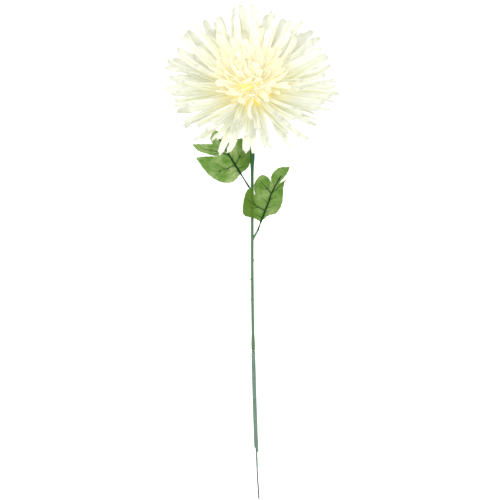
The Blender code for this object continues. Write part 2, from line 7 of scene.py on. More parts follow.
import math
import random
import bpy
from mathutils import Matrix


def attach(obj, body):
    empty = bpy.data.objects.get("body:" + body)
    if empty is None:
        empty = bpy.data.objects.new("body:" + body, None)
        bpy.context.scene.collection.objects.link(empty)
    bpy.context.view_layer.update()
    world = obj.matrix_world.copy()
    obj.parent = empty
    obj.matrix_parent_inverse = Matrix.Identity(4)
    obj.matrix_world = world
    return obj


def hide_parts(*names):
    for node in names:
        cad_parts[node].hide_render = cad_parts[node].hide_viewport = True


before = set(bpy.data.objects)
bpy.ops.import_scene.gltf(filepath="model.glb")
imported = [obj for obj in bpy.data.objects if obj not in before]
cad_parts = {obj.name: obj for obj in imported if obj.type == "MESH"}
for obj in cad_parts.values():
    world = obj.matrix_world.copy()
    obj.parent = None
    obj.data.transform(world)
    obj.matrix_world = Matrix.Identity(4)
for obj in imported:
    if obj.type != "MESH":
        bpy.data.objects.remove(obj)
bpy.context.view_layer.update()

from types import SimpleNamespace

import bmesh
import bpy
from mathutils import Matrix, Vector, noise
from mathutils.geometry import delaunay_2d_cdt

MM = 0.001

# Stem's line, from the wire's cut end to the neck
WIRE_END_Y = -279.5
WIRE_COAT_END_Y = -243.5
SLEEVE_END_Y = -227.0
SLEEVE_TOP_Y = -115.0
NECK_START_Y = 104.0
STEM_X = 0.6
WIRE_END_SWAY = 7.2
STEM_SLOPE = 0.054
NECK_RUN = 30.0
NECK_RISE = 10.0

# Stem, sleeve and wire across
WIRE_RADIUS = 0.8
WIRE_COAT_RADIUS = 1.0
WIRE_COAT_WALL = 0.12
WIRE_COAT_SEED = 3
SLEEVE_RADIUS = 2.25
SLEEVE_WALL = 0.85
SLEEVE_GAP = 0.3
STEM_RADIUS = 1.65
STEM_FLARE_RADIUS = 2.1
STEM_GROOVE_RADIUS = 1.65
STEM_WALL = 0.5
NECK_RADIUS = 2.8
# Scars by place, side and radius, and the wire's kinks by place and shift aside
STEM_SCARS = ((-11.8, 1.0, 1.1), (-33.0, -1.0, 1.4), (-55.4, -1.0, 1.0))
WIRE_KINKS = ((-246.0, -0.3), (-252.0, 0.15), (-258.0, -0.1), (-264.0, 0.1), (-279.5, 0.35))

# Head: centre, lean of its axis from straight up, and its own directions
HEAD_CENTRE = Vector((-1.9, 177.5, 50.0))
HEAD_LEAN = math.radians(48.0)
HEAD_SEED = 14
FRONT = Vector((0.0, -math.cos(HEAD_LEAN), math.sin(HEAD_LEAN)))
AXIS = Vector((0.0, math.sin(HEAD_LEAN), math.cos(HEAD_LEAN)))
RIGHT = Vector((1.0, 0.0, 0.0))

# Calyx, measured along the head's axis and out from it
CALYX_BASE = -27.3
FLUTE_DEPTH = 0.025
SEPALS = 12
SEPAL_WIDTH = 5.2
SEPAL_RADII = (4.4, 14.4)
SEPAL_HEIGHTS = (-23.4, -12.7)
SEPAL_GAP = 0.5
SEPAL_BULGE = 0.5
SEPAL_THICKNESS = 0.5


def new_family(**values):
    """A family of petal rings. What it doesn't name keeps the plain value given here."""
    plain = {
        "upper_opening": (0.0, 0.0), "under_closing": (0.0, 0.0), "upper_shortening": (0.0, 0.0),
        "length_range": (0.8, 1.15), "width_range": (0.85, 1.15), "first_turn": 0.0, "first_level": 0.5,
        "bowl_side": 0,
    }
    return SimpleNamespace(**{**plain, **values})


# Families of petals. A pair is the value at the outermost ring and at the innermost one, but the
# ranges and the curl are lowest and highest values. Angles are degrees from the head's axis, and
# turns, sweeps, rolls and twists are radians. A family stays under the bowl (bowl_side -1) or over it
# (1), or the bowl doesn't hold it off (0).
RAYS = new_family(
    name="ray_rosette", finish="ray", seed=5, rings=7, count=(18, 15), start_angle=(86.0, 66.0),
    end_angle=(96.0, 52.0), length=(92.0, 91.0), width=(10.0, 9.6), root_height=(-8.0, -2.0),
    root_radius=(4.0, 4.0), upper_opening=(0.0, 36.0), under_closing=(0.0, 8.0),
    upper_shortening=(0.0, 0.24), first_turn=0.12, ring_turn=0.3, length_range=(0.88, 1.04),
    width_range=(0.8, 1.15), sweep=0.2, roll=0.5, twist=0.5, curl=(-28.0, 26.0), first_level=0.0,
    bowl_side=-1,
)
HEART = new_family(
    name="heart_rosette", finish="heart", seed=6, rings=6, count=(16, 7), start_angle=(60.0, 22.0),
    end_angle=(39.0, 6.0), length=(54.0, 40.0), width=(8.6, 7.4), root_height=(9.0, 14.0),
    root_radius=(4.0, 1.0), upper_opening=(15.0, 0.0), ring_turn=0.5, length_range=(0.85, 1.08),
    sweep=0.3, roll=0.35, twist=0.4, curl=(-40.0, 20.0), bowl_side=1,
)
# Finer families that fill between the others: a ruff under the heart, small petals and a bud in it,
# and its core
RUFF = new_family(
    name="ruff_rosette", finish="ray", seed=7, rings=2, count=(16, 15), start_angle=(82.0, 70.0),
    end_angle=(86.0, 72.0), length=(74.0, 66.0), width=(6.8, 6.2), root_height=(1.0, 5.0),
    root_radius=(8.0, 7.0), upper_opening=(12.0, 20.0), under_closing=(4.0, 0.0),
    upper_shortening=(0.06, 0.1), first_turn=0.2, ring_turn=0.35, length_range=(0.7, 1.1),
    width_range=(0.7, 1.2), sweep=0.35, roll=0.6, twist=0.9, curl=(-26.0, 24.0), first_level=0.2,
)
HEART_FILL = new_family(
    name="inner_rosette", finish="heart", seed=8, rings=5, count=(20, 9), start_angle=(70.0, 14.0),
    end_angle=(60.0, 6.0), length=(40.0, 40.0), width=(6.8, 6.4), root_height=(8.0, 17.0),
    root_radius=(6.5, 2.0), upper_opening=(14.0, 40.0), under_closing=(6.0, 0.0),
    upper_shortening=(0.1, 0.1), first_turn=0.3, ring_turn=0.6, length_range=(0.7, 1.12),
    width_range=(0.8, 1.2), sweep=0.5, roll=0.8, twist=1.0, curl=(-75.0, 65.0),
)
BUD = new_family(
    name="bud_rosette", finish="heart", seed=9, rings=3, count=(9, 5), start_angle=(30.0, 10.0),
    end_angle=(8.0, -12.0), length=(33.0, 27.0), width=(6.0, 5.0), root_height=(16.0, 17.5),
    root_radius=(4.0, 1.0), upper_opening=(4.0, 0.0), ring_turn=0.5, sweep=0.4, roll=0.6, twist=0.9,
    curl=(-50.0, 10.0),
)
CORE = new_family(
    name="core_rosette", finish="core", seed=10, rings=4, count=(20, 9), start_angle=(84.0, 16.0),
    end_angle=(68.0, 4.0), length=(27.0, 27.0), width=(5.4, 4.8), root_height=(7.0, 15.0),
    root_radius=(8.0, 2.0), upper_opening=(8.0, 34.0), ring_turn=0.45, sweep=0.4, roll=0.6, twist=0.8,
    curl=(-50.0, 40.0),
)
# Slot of each finish, and the solid that its petals stand for
PETAL_SLOTS = {
    "ray": ("ray_cream", "ray_petals"),
    "heart": ("heart_yellow", "heart_petals"),
    "core": ("heart_yellow", "heart_petals"),
}
PLACE_SPREAD = 0.3
BEND_SPREAD = 5.0
ROOT_OPENING = 0.6
LEVEL_STEP = 1.4
LEVEL_STAGGER = 0.25

# Changes to the even families that fit them to the photographed outline
UNDER_SIDE_STRETCH = 0.1
HEART_FAR_STRETCH = 0.28
RIGHT_SIDE_REACH = 95.0
RIGHT_SIDE_SHARE = 0.8
HOOKED_SWEEP = 0.3
HOOKED_AZIMUTH = -0.5
FRONT_NARROWING = 0.25

# Long outer straps that stand out in the photograph: azimuth in degrees, length and width
STANDOUT_STRAPS = (
    (29.5, 93.0, 7.0), (40.0, 96.0, 6.8), (-20.0, 96.0, 9.0),
    (-37.0, 86.0, 7.5), (18.5, 83.0, 6.5), (2.5, 88.0, 9.0),
)
# Straps that close the far side, over the innermost rays: azimuth in degrees, then ranges
CREST_COUNT = 18
CREST_AZIMUTH = (112.0, 248.0)
CREST_START_ANGLE = (56.0, 72.0)
CREST_BEND = (6.0, 18.0)
CREST_LENGTH = (66.0, 92.0)
CREST_WIDTH = (8.0, 10.5)
CREST_SEED = 3

# Petal cloth
PETAL_ROWS = 10
PETAL_COLUMNS = 4
PETAL_THICKNESS = 0.4
PETAL_CHANNEL = 0.16
PETAL_ROOT_WIDTH = 0.42
PETAL_WIDEST_FROM = 0.62
PETAL_TIP_FROM = 0.86
PETAL_TIP_NARROWING = 0.72
PETAL_ROW_CROWDING = 1.25  # rows lie closer together towards the tip
PETAL_BEND_LATE = 1.4
PETAL_STEPS = 24
CURL_FROM = 0.55
FLOOR_GAP = 0.4

# Ranges that every petal draws its own shape from
TIP_TURN = 0.5
WIDTH_RANGE = (0.76, 1.1)
RIPPLE_DEPTH = (0.2, 0.7)
SWAY = 6.0
SWAY_LENGTH = 90.0  # length of a petal that sways so far
SWAY_BENDS = (3.0, 6.5)
RIPPLE_WAVES = (1.5, 3.2)
RIPPLE_LEAN = 1.2  # how far a ripple runs aslant across the petal
RIPPLE_MIDDLE = 0.25  # what is left of it in the middle

# Bowl between the rays and the heart, measured along the head's axis
BOWL_FLOOR_HEIGHT = 2.15
BOWL_FLOOR_RADIUS = 11.0
BOWL_ANGLE = math.radians(48.0)
BOWL_FRONT_OPENING = math.radians(9.0)
RAY_CLEARANCE = 0.9

# Leaf cloth and its ribs
LEAF_THICKNESS = 0.35
LEAF_GRID = 1.7
LEAF_GRID_ROW = 0.87
LEAF_GRID_CLEAR = 0.42
LEAF_GRID_REACH = 42
EDGE_PARTS = 8
SCALLOP_DEPTH = 0.22
SCALLOP_TURN = 1.9
VEIN_PARTS = 12
VEIN_WIDTH = 1.1
VEIN_DEPTH = 0.22
VEIN_FADE = 0.85
RIPPLE_LENGTH = 7.0
RIPPLE_START = 14.0
CREASES = ((0.35, 3.0, 5.5), (0.12, 9.0, 2.2))  # depth, layer of the noise, size
# Painted shade on the leaf cloth: how dark the shaded side of a blade grows, and how far the stem's
# painted shadow reaches to either side of the stem
SHADED_SIDE = 0.5
STEM_SHADE_REACH = 1.9
CAD_LEAF_THICKNESS = 0.7
RIB_GAP = 0.3
PEG_GAP = 0.3
MIDRIB_LIFT = 0.6
SIDE_RIB_LIFT = 0.42
RIB_PARTS = 8

# Leaves, from each one's base. A stretch of the edge runs from one tip or notch to the next.
LEFT_LEAF = SimpleNamespace(
    base=Vector((-12.5, 85.0, 15.0)),
    peg_foot=Vector((STEM_X, 65.5, 19.4)),
    peg_tip=Vector((-2.4, 69.0, 18.6)),
    stretches=(
        ((0.0, 0.0), (-8.6, -9.4), (-21.5, -9.6), (-36.0, -1.0), (-50.2, 17.9)),
        ((-50.2, 17.9), (-40.0, 19.0), (-25.5, 19.0)),
        ((-25.5, 19.0), (-38.6, 22.4), (-48.0, 25.8), (-54.4, 32.9)),
        ((-54.4, 32.9), (-42.0, 33.0), (-31.0, 33.0)),
        ((-31.0, 33.0), (-34.0, 40.0), (-29.2, 49.0)),
        ((-29.2, 49.0), (-18.0, 43.0), (-11.5, 31.0)),
        ((-11.5, 31.0), (-5.0, 38.0), (2.6, 39.4)),
        ((2.6, 39.4), (9.5, 30.0), (11.5, 18.0), (8.5, 7.0), (0.0, 0.0)),
    ),
    midrib=((0.0, 0.0), (-6.0, 9.5), (-12.9, 20.5), (-20.5, 33.0), (-27.0, 43.5)),
    side_ribs=(
        ((-6.0, 9.5), (-2.0, 17.0), (2.5, 24.0)),
        ((-6.0, 9.5), (-14.0, 6.0), (-21.5, 3.4)),
        ((-12.9, 20.5), (-23.0, 23.5), (-36.0, 26.5)),
    ),
    veins=(
        ((-21.5, 3.4), (-30.0, 3.0), (-41.0, 11.0)), ((-13.0, 6.4), (-18.0, 0.5), (-21.0, -6.5)),
        ((-21.5, 3.4), (-26.0, -1.5), (-30.0, -3.5)), ((-17.5, 4.8), (-26.0, 10.0), (-39.0, 16.5)),
        ((-3.5, 5.5), (3.0, 7.5), (8.0, 8.5)), ((-2.0, 17.0), (4.0, 19.0), (9.5, 20.5)),
        ((-1.0, 19.0), (-3.0, 25.0), (-3.5, 32.0)), ((-9.0, 14.5), (-8.5, 22.0), (-9.5, 29.0)),
        ((-23.0, 23.5), (-30.0, 21.5), (-38.0, 21.5)), ((-36.0, 26.5), (-44.0, 28.0), (-51.0, 31.0)),
        ((-18.0, 29.0), (-26.0, 30.0), (-40.0, 31.0)), ((-20.5, 33.0), (-17.5, 37.5), (-17.5, 41.5)),
        ((-24.0, 38.5), (-29.0, 39.0), (-31.0, 43.0)), ((-2.5, 3.8), (-9.0, 0.5), (-15.0, -6.0)),
    ),
    # Painted shade: the blade darkens across x from -6 to 2 mm, on its side towards the stem
    shade_side_span=(-6.0, 2.0),
    dark=0.0,
    stem_shade=0.0,
    pitch=-0.10,
    droop=0.006,
    wave=1.1,
)
RIGHT_LEAF = SimpleNamespace(
    base=Vector((10.1, 30.6, 25.0)),
    peg_foot=Vector((STEM_X + 0.4, 11.0, 16.6)),
    peg_tip=Vector((6.9, 21.6, 20.6)),
    stretches=(
        ((0.0, 0.0), (-8.1, 4.6), (-18.5, 7.6), (-20.0, 18.0), (-16.2, 34.0), (-9.4, 39.4)),
        ((-9.4, 39.4), (-8.4, 34.0), (-5.9, 28.7)),
        ((-5.9, 28.7), (-7.4, 42.0), (0.0, 52.3), (7.6, 50.6), (11.6, 44.1)),
        ((11.6, 44.1), (12.4, 53.0), (20.2, 60.8), (32.6, 61.7)),
        ((32.6, 61.7), (29.0, 53.5), (20.2, 43.0)),
        ((20.2, 43.0), (27.0, 47.0), (33.9, 54.4)),
        ((33.9, 54.4), (26.2, 43.0), (24.0, 22.0), (17.6, 10.2), (8.4, 7.2), (0.0, 0.0)),
    ),
    midrib=((0.0, 0.0), (2.8, 7.0), (4.9, 13.0), (9.0, 23.0), (12.0, 32.0), (22.5, 52.0)),
    side_ribs=(
        ((4.9, 13.0), (-3.0, 17.0), (-10.0, 21.5)),
        ((12.0, 32.0), (8.0, 36.5), (3.6, 41.5)),
        ((12.0, 32.0), (17.0, 36.5), (23.0, 41.0)),
    ),
    veins=(
        ((1.5, 4.0), (-4.0, 8.0), (-11.0, 10.0)), ((3.8, 10.0), (9.0, 12.0), (14.0, 13.0)),
        ((6.0, 16.0), (12.0, 17.5), (18.5, 20.5)), ((8.0, 20.5), (4.0, 25.0), (-1.0, 30.0)),
        ((9.6, 25.0), (15.0, 27.5), (21.5, 30.5)), ((-3.0, 17.0), (-9.0, 15.5), (-15.0, 18.0)),
        ((-6.0, 19.0), (-10.0, 27.0), (-12.5, 34.0)), ((-10.0, 21.5), (-14.0, 24.5), (-16.5, 28.0)),
        ((3.6, 41.5), (0.5, 46.0), (-0.5, 50.0)), ((7.5, 37.2), (2.0, 38.0), (-3.5, 43.0)),
        ((8.0, 36.5), (8.5, 42.0), (7.0, 48.0)), ((15.5, 38.7), (14.5, 44.0), (16.0, 51.0)),
        ((18.5, 44.5), (22.5, 50.0), (28.0, 57.5)), ((23.0, 41.0), (28.0, 47.0), (31.5, 51.5)),
        ((17.0, 36.5), (20.5, 35.5), (24.0, 37.0)),
    ),
    # Painted shade: the whole blade a little darker, darker still across x from -1 to -9 mm on its left
    # lobe, and along the stem's shadow beneath it
    shade_side_span=(-1.0, -9.0),
    dark=0.31,
    stem_shade=0.4,
    pitch=0.06,
    droop=0.007,
    wave=1.0,
)

# View: places and sizes in metres, power in watts
PHOTO_SIDE = 500
MM_PER_PIXEL = 1.12
PHOTO_CENTRE = (-1.9, -0.56)  # what the middle of the photograph shows, in millimetres
CAMERA_HEIGHT = 12.0
FLOOR_HEIGHT = -0.2  # millimetres
FLOOR_TONE = 0.93
FLOOR_GLOW = 0.6
ROOM_LIGHT = 1.032
LAMPS = (("key lamp", (-0.8, -0.2, 2.7), 0.9, 26.66), ("fill lamp", (1.5, 0.8, 2.2), 1.6, 13.76))
LAMP_TARGET = Vector((0.0, 0.08, 0.03))

# Finishes: colours of a petal's painted fold shade and of its glow as sRGB bytes, what dims its cloth,
# how close the threads lie, and the stretches of Y where a colour, a painted shade or a painted
# highlight changes
FOLD_SHADE_TONE = (220, 221, 160)
GLOW_TONE = (150, 149, 128)
PETAL_BRIGHTNESS = 0.92
PETAL_THREADS = (70.0, 620.0, 0.0)
LEAF_THREADS = (640.0, 640.0, 0.0)
STEM_SHADE_SPAN = (30.0, 100.0)
STEM_FOOT_SHADE_BAND = (SLEEVE_TOP_Y, -111.2)
STEM_RING_HIGHLIGHT_BAND = (-113.6, -112.5)
SLEEVE_SPECKLED_BAND = (-119.5, SLEEVE_TOP_Y)
SLEEVE_PINCH_HIGHLIGHT_BAND = (-122.6, -122.0)
BAND_SOFTNESS = 0.15


# Small tools


def between(pair, share):
    """The value at a share of the way from the first of a pair to the second."""
    return pair[0] + (pair[1] - pair[0]) * share


def smooth(low, high, value):
    """Rises from 0 at low to 1 at high, with eased ends."""
    share = min(1.0, max(0.0, (value - low) / (high - low)))
    return share * share * (3 - 2 * share)


def select_only(*pieces):
    """Selects these objects alone, with the first one active."""
    bpy.ops.object.select_all(action="DESELECT")
    for piece in pieces:
        piece.select_set(True)
    bpy.context.view_layer.objects.active = pieces[0]


def start_edit(piece):
    """Enters edit mode with all of a piece selected."""
    select_only(piece)
    bpy.ops.object.mode_set(mode="EDIT")
    bpy.ops.mesh.select_all(action="SELECT")


def end_edit():
    """Leaves edit mode."""
    bpy.ops.object.mode_set(mode="OBJECT")


def select_where(piece, test):
    """In edit mode, selects the vertices whose place passes a test."""
    shape = bmesh.from_edit_mesh(piece.data)
    for vertex in shape.verts:
        vertex.select = test(vertex.co)
    shape.select_flush_mode()
    bmesh.update_edit_mesh(piece.data)


def new_object(name, data):
    """An object in the scene for a mesh, a lamp or a camera."""
    made = bpy.data.objects.new(name, data)
    bpy.context.scene.collection.objects.link(made)
    return made


def new_mesh_object(name, spots, edges, faces):
    """An object made of points, edges and faces."""
    mesh = bpy.data.meshes.new(name)
    mesh.from_pydata(spots, edges, faces)
    return new_object(name, mesh)


def new_grid(name, columns, rows):
    """A flat grid one unit long and wide that runs from the origin along +Y."""
    bpy.ops.mesh.primitive_grid_add(
        x_subdivisions=columns, y_subdivisions=rows, size=1.0, location=(0.0, 0.5, 0.0)
    )
    grid = bpy.context.object
    grid.name = name
    bpy.ops.object.transform_apply(location=True, rotation=True, scale=True)
    return grid


def join(name, pieces):
    """Joins pieces into one named object."""
    select_only(*pieces)
    bpy.ops.object.join()
    joined = bpy.context.object
    joined.name = name
    joined.data.name = name
    return joined


def thicken(piece, thickness, offset=0.0):
    """Gives an open sheet its thickness."""
    select_only(piece)
    wall = piece.modifiers.new("Wall", "SOLIDIFY")
    wall.thickness = thickness * MM
    wall.offset = offset
    wall.use_even_offset = offset != 0.0
    bpy.ops.object.modifier_apply(modifier=wall.name)
    return piece


def soften(piece, angle=40.0):
    """Shades a piece smooth, with edges sharper than the angle kept."""
    select_only(piece)
    bpy.ops.object.shade_smooth_by_angle(angle=math.radians(angle))
    return piece


def dress(piece, material, slot, *nodes):
    """Gives a finished piece its material, attaches it to the root body and hides the solids it stands
    for.
    """
    piece.data.materials.clear()
    piece.data.materials.append(material)
    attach(piece, "root")
    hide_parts(*nodes)


# Straight round pieces, modelled along +Y and then laid along a line


def turned_rod(name, profile, sides, closed=True):
    """A straight round bar along +Y, extruded ring by ring through (place, radius) stations."""
    place, radius = profile[0]
    bpy.ops.mesh.primitive_circle_add(
        vertices=sides,
        radius=radius * MM,
        fill_type="NGON" if closed else "NOTHING",
        location=(0.0, place * MM, 0.0),
        rotation=(math.pi / 2, 0.0, 0.0),
    )
    rod = bpy.context.object
    rod.name = name
    bpy.ops.object.transform_apply(location=True, rotation=True, scale=True)
    start_edit(rod)
    for next_place, next_radius in profile[1:]:
        step = {"value": (0.0, (next_place - place) * MM, 0.0)}
        bpy.ops.mesh.extrude_region_move(TRANSFORM_OT_translate=step)
        grow = next_radius / radius
        middle = (0.0, next_place * MM, 0.0)
        bpy.ops.transform.resize(value=(grow, 1.0, grow), center_override=middle)
        place, radius = next_place, next_radius
    bpy.ops.mesh.select_all(action="SELECT")
    bpy.ops.mesh.normals_make_consistent(inside=False)
    end_edit()
    return rod


def cut_foot(tube, place, away):
    """Cuts a tube aslant near its foot and drops what lies below."""
    start_edit(tube)
    bpy.ops.mesh.bisect(plane_co=[value * MM for value in place], plane_no=away, clear_inner=True)
    end_edit()


def rod_line(points):
    """Cumulative length, point and two cross directions at each point of a path."""
    line = []
    length = 0.0
    for i, point in enumerate(points):
        ahead = points[min(i + 1, len(points) - 1)] - points[max(i - 1, 0)]
        along = ahead.normalized()
        across = along.cross(Vector((0.0, 0.0, 1.0))).normalized()
        if i:
            length += (point - points[i - 1]).length
        line.append((length, point, across, across.cross(along)))
    return line


def lay_rod(rod, points):
    """Bends a straight rod onto a path, its length measured from the path's first point."""
    line = rod_line(points)
    for vertex in rod.data.vertices:
        place = vertex.co.y / MM
        i = next((k for k in range(1, len(line) - 1) if line[k][0] >= place), len(line) - 1)
        low, high = line[i - 1], line[i]
        share = (place - low[0]) / (high[0] - low[0])
        point, across, up = (low[k].lerp(high[k], share) for k in (1, 2, 3))
        vertex.co = point * MM + across * vertex.co.x + up * vertex.co.z
    return rod


def path_length(points):
    """Length of a path through points."""
    return sum((b - a).length for a, b in zip(points, points[1:]))


def curved(points, parts):
    """Points of a smooth curve through the given ones, with the last."""
    ends = [points[0], *points, points[-1]]
    made = []
    for a, b, c, d in zip(ends, ends[1:], ends[2:], ends[3:]):
        for part in range(parts):
            t = part / parts
            made.append(
                Vector(
                    0.5 * (2 * q + (r - p) * t + (2 * p - 5 * q + 4 * r - s) * t**2
                           + (3 * q - p - 3 * r + s) * t**3)
                    for p, q, r, s in zip(a, b, c, d)
                )
            )
    return [*made, Vector(points[-1])]


# Stem, sleeve and wire


def stem_point(y):
    """A point on the stem's line, which sways aside towards the wire's end."""
    sway = WIRE_END_SWAY * (min(y, 0.0) / WIRE_END_Y) ** 2
    return Vector((STEM_X + sway, y, WIRE_RADIUS + STEM_SLOPE * (y - WIRE_END_Y)))


def stem_path(start, end, step=4.0):
    """Points along the stem's line from start to end."""
    count = math.ceil((end - start) / step)
    return [stem_point(between((start, end), i / count)) for i in range(count + 1)]


def neck_path():
    """Points round the neck's bend, from the straight stem to the calyx."""
    start = stem_point(NECK_START_Y)
    end = HEAD_CENTRE + AXIS * CALYX_BASE
    run = Vector((0.0, 1.0, STEM_SLOPE)) * NECK_RUN
    rise = AXIS * NECK_RISE
    steps = 18
    return [
        start * (1 - t) ** 3
        + (start + run) * 3 * t * (1 - t) ** 2
        + (end - rise) * 3 * t**2 * (1 - t)
        + end * t**3
        for t in (i / steps for i in range(1, steps + 1))
    ]


def make_stem(material):
    """Moulded stem with a necked foot, a ring, a flare, scars and two leaf pegs."""
    foot = SLEEVE_TOP_Y + SLEEVE_GAP
    path = stem_path(foot, NECK_START_Y) + neck_path()
    length = path_length(path)
    groove, flare, plain = STEM_GROOVE_RADIUS, STEM_FLARE_RADIUS, STEM_RADIUS
    neck = NECK_START_Y - foot
    profile = [
        (0.0, groove), (0.8, groove - 0.05), (1.05, flare - 0.1), (1.3, flare), (1.9, flare),
        (2.15, flare - 0.1), (2.3, groove), (3.0, groove), (3.3, flare - 0.05), (3.9, flare),
        (10.5, flare), (14.0, flare - 0.12), (20.0, plain), (30.0, plain - 0.03),
    ]
    profile += [(place, plain + 0.03 * math.sin(place * 0.11)) for place in range(40, 190, 10)]
    profile += [
        (neck - 22.0, plain), (neck - 13.0, plain + 0.2), (neck - 8.0, plain + 0.5),
        (neck - 4.0, NECK_RADIUS - 0.3), (neck, NECK_RADIUS),
    ]
    profile += [(between((neck, length), i / 10), NECK_RADIUS) for i in range(1, 11)]
    stem = turned_rod("stem_tube", profile, 20, closed=False)
    thicken(stem, STEM_WALL, -1.0)
    lay_rod(stem, path)
    details = [make_peg(leaf) for leaf in (LEFT_LEAF, RIGHT_LEAF)]
    details += [make_scar(*scar) for scar in STEM_SCARS]
    stem = soften(join("stem_tube", [stem, *details]))
    dress(stem, material, "stem_green", "stem")


def make_scar(y, side, radius):
    """A small raised scar where a side shoot was cut from the moulding."""
    middle = stem_point(y) + RIGHT * side * (STEM_RADIUS - 0.3)
    bpy.ops.mesh.primitive_uv_sphere_add(segments=12, ring_count=8, radius=radius * MM)
    scar = bpy.context.object
    start_edit(scar)
    bpy.ops.transform.resize(value=(0.85, 1.5, 0.9))
    bpy.ops.mesh.bisect(
        plane_co=(side * radius * 0.6 * MM, 0.0, 0.0), plane_no=(side, 0.35, 0.0),
        use_fill=True, clear_outer=True,
    )
    bpy.ops.mesh.select_all(action="SELECT")
    bpy.ops.transform.translate(value=middle * MM)
    end_edit()
    return scar


def make_peg(leaf):
    """A tapered moulded peg, with a collar, that a leaf's stalk is pushed against."""
    length = (leaf.peg_tip - leaf.peg_foot).length
    profile = [
        (0.0, 1.5), (1.5, 1.45), (3.0, 1.25), (length * 0.6, 1.1), (length - 1.4, 1.0),
        (length - 1.1, 1.2), (length - 0.2, 1.2), (length, 0.95),
    ]
    peg = turned_rod("peg", profile, 12)
    return lay_rod(peg, [leaf.peg_foot.lerp(leaf.peg_tip, i / 4) for i in range(5)])


def make_sleeve(material):
    """Grey-green tube, pinched near its top and cut aslant at its foot."""
    path = stem_path(SLEEVE_END_Y, SLEEVE_TOP_Y)
    length = path_length(path)
    pinch = length - 7.3
    full = SLEEVE_RADIUS
    profile = [(place, full + 0.02 * math.sin(place * 0.23)) for place in range(0, 100, 5)]
    profile += [
        (pinch - 1.3, full), (pinch - 0.5, full - 0.12), (pinch, full - 0.32),
        (pinch + 0.5, full - 0.12), (pinch + 1.3, full), (length - 3.0, full),
        (length - 0.5, full - 0.02), (length, full - 0.25),
    ]
    sleeve = turned_rod("sleeve_tube", profile, 20, closed=False)
    cut_foot(sleeve, (full, 0.4, 0.0), (0.75, 0.6, 0.0))
    thicken(sleeve, SLEEVE_WALL, -1.0)
    soften(lay_rod(sleeve, path), 50.0)
    dress(sleeve, material, "sleeve_grey_green", "sleeve")


def wire_path(start, end):
    """The stem's line with the small kinks of a wire that was bent by hand."""
    points = stem_path(start, end, 2.0)
    for point in points:
        for low, high in zip(WIRE_KINKS, WIRE_KINKS[1:]):
            if high[0] <= point.y <= low[0]:
                point.x += between((low[1], high[1]), (point.y - low[0]) / (high[0] - low[0]))
    return points


def make_bare_wire(material):
    """Drawn wire with a sheared end, from the cut to the top of the stem's bore."""
    path = wire_path(WIRE_END_Y, NECK_START_Y)
    length = path_length(path)
    profile = [(0.0, 0.55), (0.25, WIRE_RADIUS - 0.05)]
    profile += [(place, WIRE_RADIUS) for place in range(2, int(length), 6)]
    profile += [(length, WIRE_RADIUS)]
    wire = soften(lay_rod(turned_rod("bare_wire", profile, 14), path))
    dress(wire, material, "wire_grey", "wire")


def make_wire_coat(material):
    """The grey-green coat that is left on the wire below the sleeve, uneven and torn at its end."""
    chance = random.Random(WIRE_COAT_SEED)
    path = wire_path(WIRE_COAT_END_Y, SLEEVE_END_Y + 10.0)
    profile = [(0.0, WIRE_RADIUS + 0.08), (0.6, WIRE_RADIUS + 0.15)]
    for place in range(2, int(path_length(path)), 2):
        profile.append((place, WIRE_COAT_RADIUS + chance.uniform(-0.05, 0.06)))
    coat = turned_rod("wire_coat", profile, 14, closed=False)
    cut_foot(coat, (0.0, 0.7, 0.0), (-0.5, 0.8, 0.1))
    thicken(coat, WIRE_COAT_WALL, -1.0)
    soften(lay_rod(coat, path))
    dress(coat, material, "sleeve_grey_green", "wire")


# Petals


def petal_width(share):
    """Width of a petal along its length, as a share of its widest: narrow root, blunt tip."""
    body = between((PETAL_ROOT_WIDTH, 1.0), smooth(0.0, PETAL_WIDEST_FROM, share))
    past = max(0.0, (share - PETAL_TIP_FROM) / (1 - PETAL_TIP_FROM))
    return body * math.sqrt(max(0.0, 1 - PETAL_TIP_NARROWING * past**2.2))


def petal_blank(name, tip_shift, tip_pinch):
    """A flat strap one unit long, narrowed row by row, with its tip cut to a pattern."""
    blank = new_grid(name, PETAL_COLUMNS, PETAL_ROWS)
    start_edit(blank)
    near = 0.2 / PETAL_ROWS
    for row in range(PETAL_ROWS, -1, -1):
        place = row / PETAL_ROWS
        share = 1 - (1 - place) ** PETAL_ROW_CROWDING
        width = petal_width(share) * (tip_pinch if row == PETAL_ROWS else 1.0)
        select_where(blank, lambda co, y=place: abs(co.y - y) < near)
        bpy.ops.transform.resize(value=(width, 1.0, 1.0), center_override=(0.0, place, 0.0))
        bpy.ops.transform.translate(value=(0.0, share - place, 0.0))
    width = petal_width(1.0) * tip_pinch
    for column, shift in enumerate(tip_shift):
        side = (column / PETAL_COLUMNS - 0.5) * width
        select_where(blank, lambda co, x=side: co.y > 0.999 and abs(co.x - x) < 0.1 * width)
        bpy.ops.transform.translate(value=(0.0, shift, 0.0))
    end_edit()
    return blank


def petal_line(petal):
    """Point, direction across and face direction at each step along a petal's middle line."""
    point = HEAD_CENTRE + AXIS * petal.root_height
    step_length = petal.length / PETAL_STEPS
    line = []
    for step in range(PETAL_STEPS + 1):
        share = step / PETAL_STEPS
        bent = share**PETAL_BEND_LATE
        curl = petal.curl * max(0.0, (share - CURL_FROM) / (1 - CURL_FROM)) ** 2
        angle = math.radians(between((petal.start_angle, petal.end_angle), bent) + curl)
        around = petal.azimuth + petal.sweep * share * share
        outward = FRONT * math.cos(around) + RIGHT * math.sin(around)
        along = AXIS * math.cos(angle) + outward * math.sin(angle)
        face = AXIS * math.sin(angle) - outward * math.cos(angle)
        if step == 0:
            point = point + outward * petal.root_radius
        tip_turn = petal.tip_turn * max(0.0, 2 * share - 1) ** 1.5
        turn = Matrix.Rotation(petal.roll + petal.twist * share + tip_turn, 3, along)
        line.append((point.copy(), turn @ along.cross(face), turn @ face))
        point = point + along * step_length
    return line


